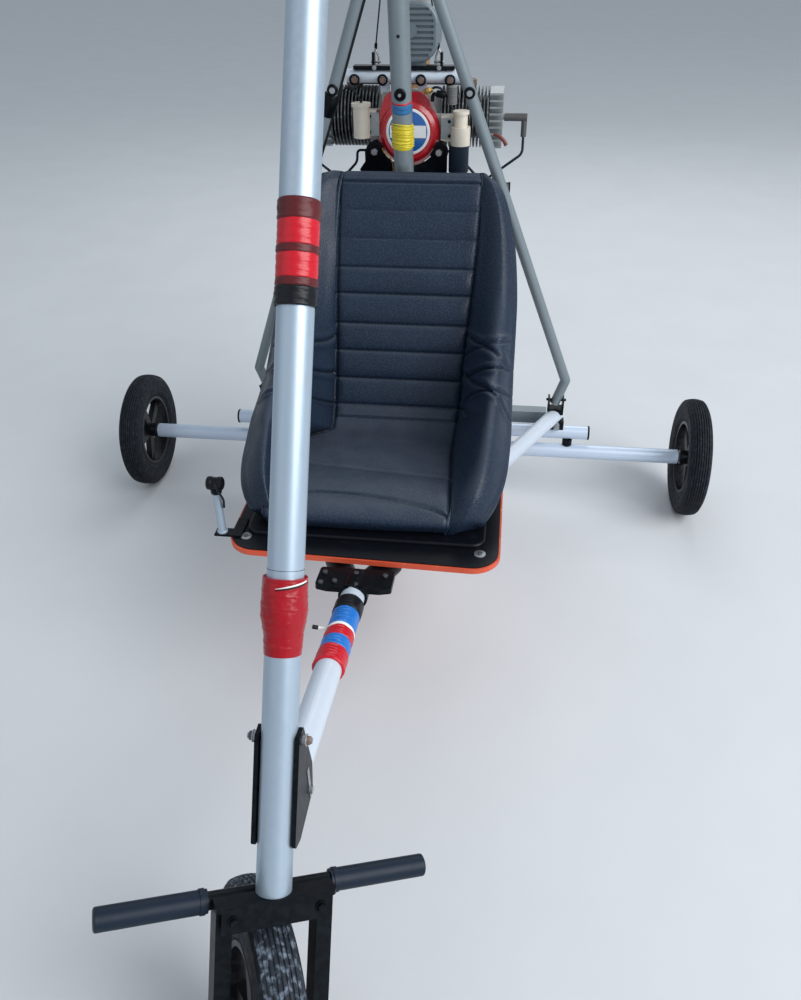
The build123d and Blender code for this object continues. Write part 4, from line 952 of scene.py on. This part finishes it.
def make_control_cables():
    """Cables, leads, the bellows, the lever and brass fittings in front of the engine."""
    lines = Shape("control_cables")
    held = ((1.55, 0.0155, -0.004), (1.4, 0.0155, -0.004), (1.26, 0.0155, -0.004), (1.15, 0.0155, -0.004),
            (1.02, 0.014, -0.012), (0.9, 0.013, -0.012))
    lines.sweep([on_side(-1, height) + Vector((across, back, 0)) for height, across, back in held],
                0.0042, "black_tape", 10, 60)
    lines.sweep([at(-0.163, -0.03, 1.2292), at(-0.15, -0.034, 1.238), at(-0.132, -0.032, 1.228),
                 at(-0.118, -0.03, 1.205), at(-0.108, -0.028, 1.19)], 0.0028, "black_tape", 8, 30)
    bellows = [(0, 0), (8.5, 0)]
    for k in range(11):
        bellows += [(12.2, 1.5 + k * 3.8), (12.6, 2.8 + k * 3.8), (10.4, 4.6 + k * 3.8)]
    lines.turn(at(0.1165, -0.034, 1.2005), UPWARD, "grey_hose", 24, *bellows, (0, 45))
    lines.rod(at(0.0985, -0.034, 1.222), at(0.0755, -0.034, 1.226), 0.0085, "black_metal", 20, 0.003)
    lines.sweep([at(0.0755, -0.034, 1.226), at(0.068, -0.036, 1.222), at(0.066, -0.034, 1.208)], 0.005,
                "black_metal", 10, 16)
    lines.sweep([at(0.06, -0.03, 1.232), at(0.074, -0.034, 1.24), at(0.092, -0.032, 1.232),
                 at(0.118, -0.03, 1.19)], 0.003, "black_tape", 8, 30)
    lines.sweep([at(0.224, 0.004, 1.1235), at(0.238, -0.002, 1.12), at(0.25, -0.004, 1.111),
                 at(0.2575, -0.004, 1.099)], lambda u: 0.0036 + 0.0016 * u, "red_lever", 10, 24)
    lines.sweep([at(-0.064, -0.036, 1.0935), at(-0.058, -0.044, 1.085), at(-0.044, -0.046, 1.073),
                 at(-0.036, -0.044, 1.056), at(-0.035, -0.04, 1.03)], 0.0017, "brass", 8, 30)
    lines.rod(at(0.0425, -0.034, 1.228), at(0.0665, -0.03, 1.234), 0.0062, "brass", 6)
    lines.rod(at(0.0485, -0.034, 1.2295), at(0.0605, -0.031, 1.2325), 0.0082, "brass", 6)
    lines.rod(at(0.269, -0.044, 1.003), at(0.2745, -0.044, 1.003), 0.0136, "black_metal", 28)
    lines.finish(slot="rubber")


def make_cover_disc():
    """Plain blue disc with a white ring and a white bar, on the fan cover."""
    disc = Shape("cover_disc")
    centre = at(0.003, -0.0301, CRANK - 0.018)
    disc.turn(centre, FORWARD, "badge_white", 72,
              (50.5, 0), (50.5, 1.2), (56.6, 1.2), (57.2, 0.72), (57.2, 0))
    disc.turn(centre, FORWARD, "badge_blue", 72, (0, 0.8), (49.9, 0.8), (50.5, 0.48), (50.5, 0))
    disc.block(centre + Vector((0, -0.0012, 0)), (0.094, 0.0014, 0.03), "badge_white", 0.0005)
    disc.finish(slot="red_cover")


# Small parts of the nose, the fork, the board and the wheels


def make_frame_bolts():
    """Bolts and washers on the nose plates, the board, the axle's ends and the cross tube."""
    bolts = Shape("frame_bolts")
    for across, back in ((-0.066, -1.004), (0, -1.002), (0.062, -1.004), (-0.04, -1.036), (0.006, -1.046),
                         (-0.068, -1.044)):
        foot = at(across, back, 0.45 - 0.131 * (back + 1.018))
        bolts.bolt(foot, (0, 0.13, 0.99), 0.01, 0.005, "old_metal", 0.0085, "black_metal")
    for across, back in ((-0.263, -0.911), (0.256, -0.921), (0.262, -0.72), (-0.268, -0.6), (0.268, -0.5)):
        foot = at(across, back, 0.461)
        bolts.turn(foot, UPWARD, "steel", 32, (4.5, 0), (12.5, 0), (12.5, 1.2), (11.5, 1.8), (4.5, 1.8))
        bolts.bolt(foot + UPWARD * 0.001, UPWARD, 0.0095, 0.0035, "old_metal")
    for side in (-1, 1):
        bolts.bolt(at(side * 0.9242, 0, 0.1825), (side, 0, 0), 0.019, 0.0005, "steel")
        for height, back in ((0.28, -0.012), (0.274, -0.018)):
            bolts.bolt(at(side * 0.461, back, height), (0, -1, 0.2), 0.011, 0.005, "steel", 0.009, "steel")
        bolts.rod(at(side * 0.5605, 0.01, 0.246), at(side * 0.5655, 0.01, 0.246), 0.0222, "black_metal", 32)
    bolts.finish(slot="steel")


def make_nose_fittings():
    """Bolts and strips on the sides of the nose."""
    nose = Shape("nose_fittings")
    for side, look in ((-1, "old_metal"), (1, "rusty")):
        nose.bolt(at(side * 0.0372, -1.608, 0.648), (side, 0, 0), 0.0115, 0.0055, look, 0.009, "steel")
        nose.block(at(side * 0.0326, -1.6, 0.545), (0.0012, 0.01, 0.06), "steel", 0.0004)
    nose.finish(slot="steel")


def make_fork_bolts():
    """Bolts, ring and end caps that turn with the fork."""
    fork = Shape("fork_bolts", "fork")
    for across in (-0.062, 0.062):
        face = on_fork(across, -0.0282, -0.018)
        fork.bolt(face, -FORK_BACK, 0.011, 0.005, "black_metal", 0.0085, "black_metal")
    fork.turn(on_fork(0, 0, -0.0312), -STRUT_WAY, "steel", 36, (12.5, 0), (15, 0.2), (15, 1.2), (12.5, 1.4))
    for side in (-1, 1):
        out = FORK_ACROSS * side
        fork.turn(on_fork(side * 0.238, 0.0213, -0.0107) - out * 0.0004, out, "rubber", 36,
                  (15.5, -3), (16.6, -1), (16, 2.2), (13.5, 3.6), (0, 4))
    fork.finish(slot="black_metal")


def make_throttle():
    """Hand throttle post on its black foot plate."""
    across, back = -0.318, -0.905
    post = Shape("throttle_lever")
    post.block(at(-0.303, back, 0.4636), (0.062, 0.028, 0.0048), "black_metal", 0.001)
    post.block(at(-0.284, -0.8795, 0.4636), (0.024, 0.06, 0.0046), "black_metal", 0.001)
    post.turn(at(across, back, 0.466), UPWARD, "silver_tube", 32,
              (0, 0), (12, 0), (11.8, 3), (9.5, 4.6), (9.2, 6), (9, 106), (0, 106.5))
    post.turn(at(across, back, 0.57), UPWARD, "black_metal", 32,
              (0, 0), (11.2, 0), (12, 1), (12, 18.5), (11, 20), (0, 20))
    post.turn(at(across - 0.018, back, 0.594), (1, 0, 0), "black_plastic", 36,
              (0, 0), (11, 0), (14.8, 2.8), (15, 11), (13.6, 12.5), (13.6, 23.5), (15, 25), (14.8, 33.2),
              (11, 36), (0, 36))
    strap = ((0.004, -0.013, 0.6), (0.01, -0.0165, 0.585), (0.0165, -0.01, 0.56), (0.0135, -0.004, 0.535))
    strap = [at(across + right, back + behind, up) for right, behind, up in strap]
    post.sweep(strap, 0.0026, "black_tape", 8, 24)
    post.finish("throttle_post", slot="grey_tube")


# Stage: plain pale floor and soft studio light

FLOOR_HALF = 40
SKY_COLOUR = (0.44, 0.49, 0.54, 1)
# Each lamp: name, place, watts, width
LAMPS = (("key", (6, -3.2, 5.6), 820, 6.5), ("fill", (-3.2, -2.6, 3), 14, 3.5),
         ("back", (0.5, 4.5, 4), 60, 3))
LAMP_TARGET = Vector((0, 0.3, 0.8))


def make_stage():
    """Pale floor, pale surroundings and soft lamps."""
    mesh = bpy.data.meshes.new("floor")
    corners = [(x * FLOOR_HALF, y * FLOOR_HALF, 0) for x, y in ((-1, -1), (1, -1), (1, 1), (-1, 1))]
    mesh.from_pydata(corners, [], [(0, 1, 2, 3)])
    new_object("floor", mesh)
    tree = Tree("floor")
    tree.set(Base_Color=tree.blotched(3, 4, colour((200, 203, 206)), 0.98, 1.02), Roughness=0.8)
    mesh.materials.append(LOOKS["floor"])

    world = bpy.data.worlds.new("studio")
    SCENE.world = world
    world.use_nodes = True
    sky = world.node_tree.nodes["Background"]
    sky.inputs["Color"].default_value = SKY_COLOUR
    sky.inputs["Strength"].default_value = 1
    for name, place, energy, size in LAMPS:
        lamp = bpy.data.lights.new(name, "AREA")
        lamp.energy = energy
        lamp.size = size
        turn = (Vector(place) - LAMP_TARGET).to_track_quat("Z", "Y").to_matrix().to_4x4()
        new_object(name, lamp).matrix_world = Matrix.Translation(place) @ turn


make_camera()
make_looks()
dress_nodes()
make_seat()
make_tyres()
make_tapes()
make_engine_bolts()
make_rigging()
make_control_cables()
make_cover_disc()
make_frame_bolts()
make_nose_fittings()
make_fork_bolts()
make_throttle()
make_stage()
SCENE.view_settings.view_transform = "Standard"
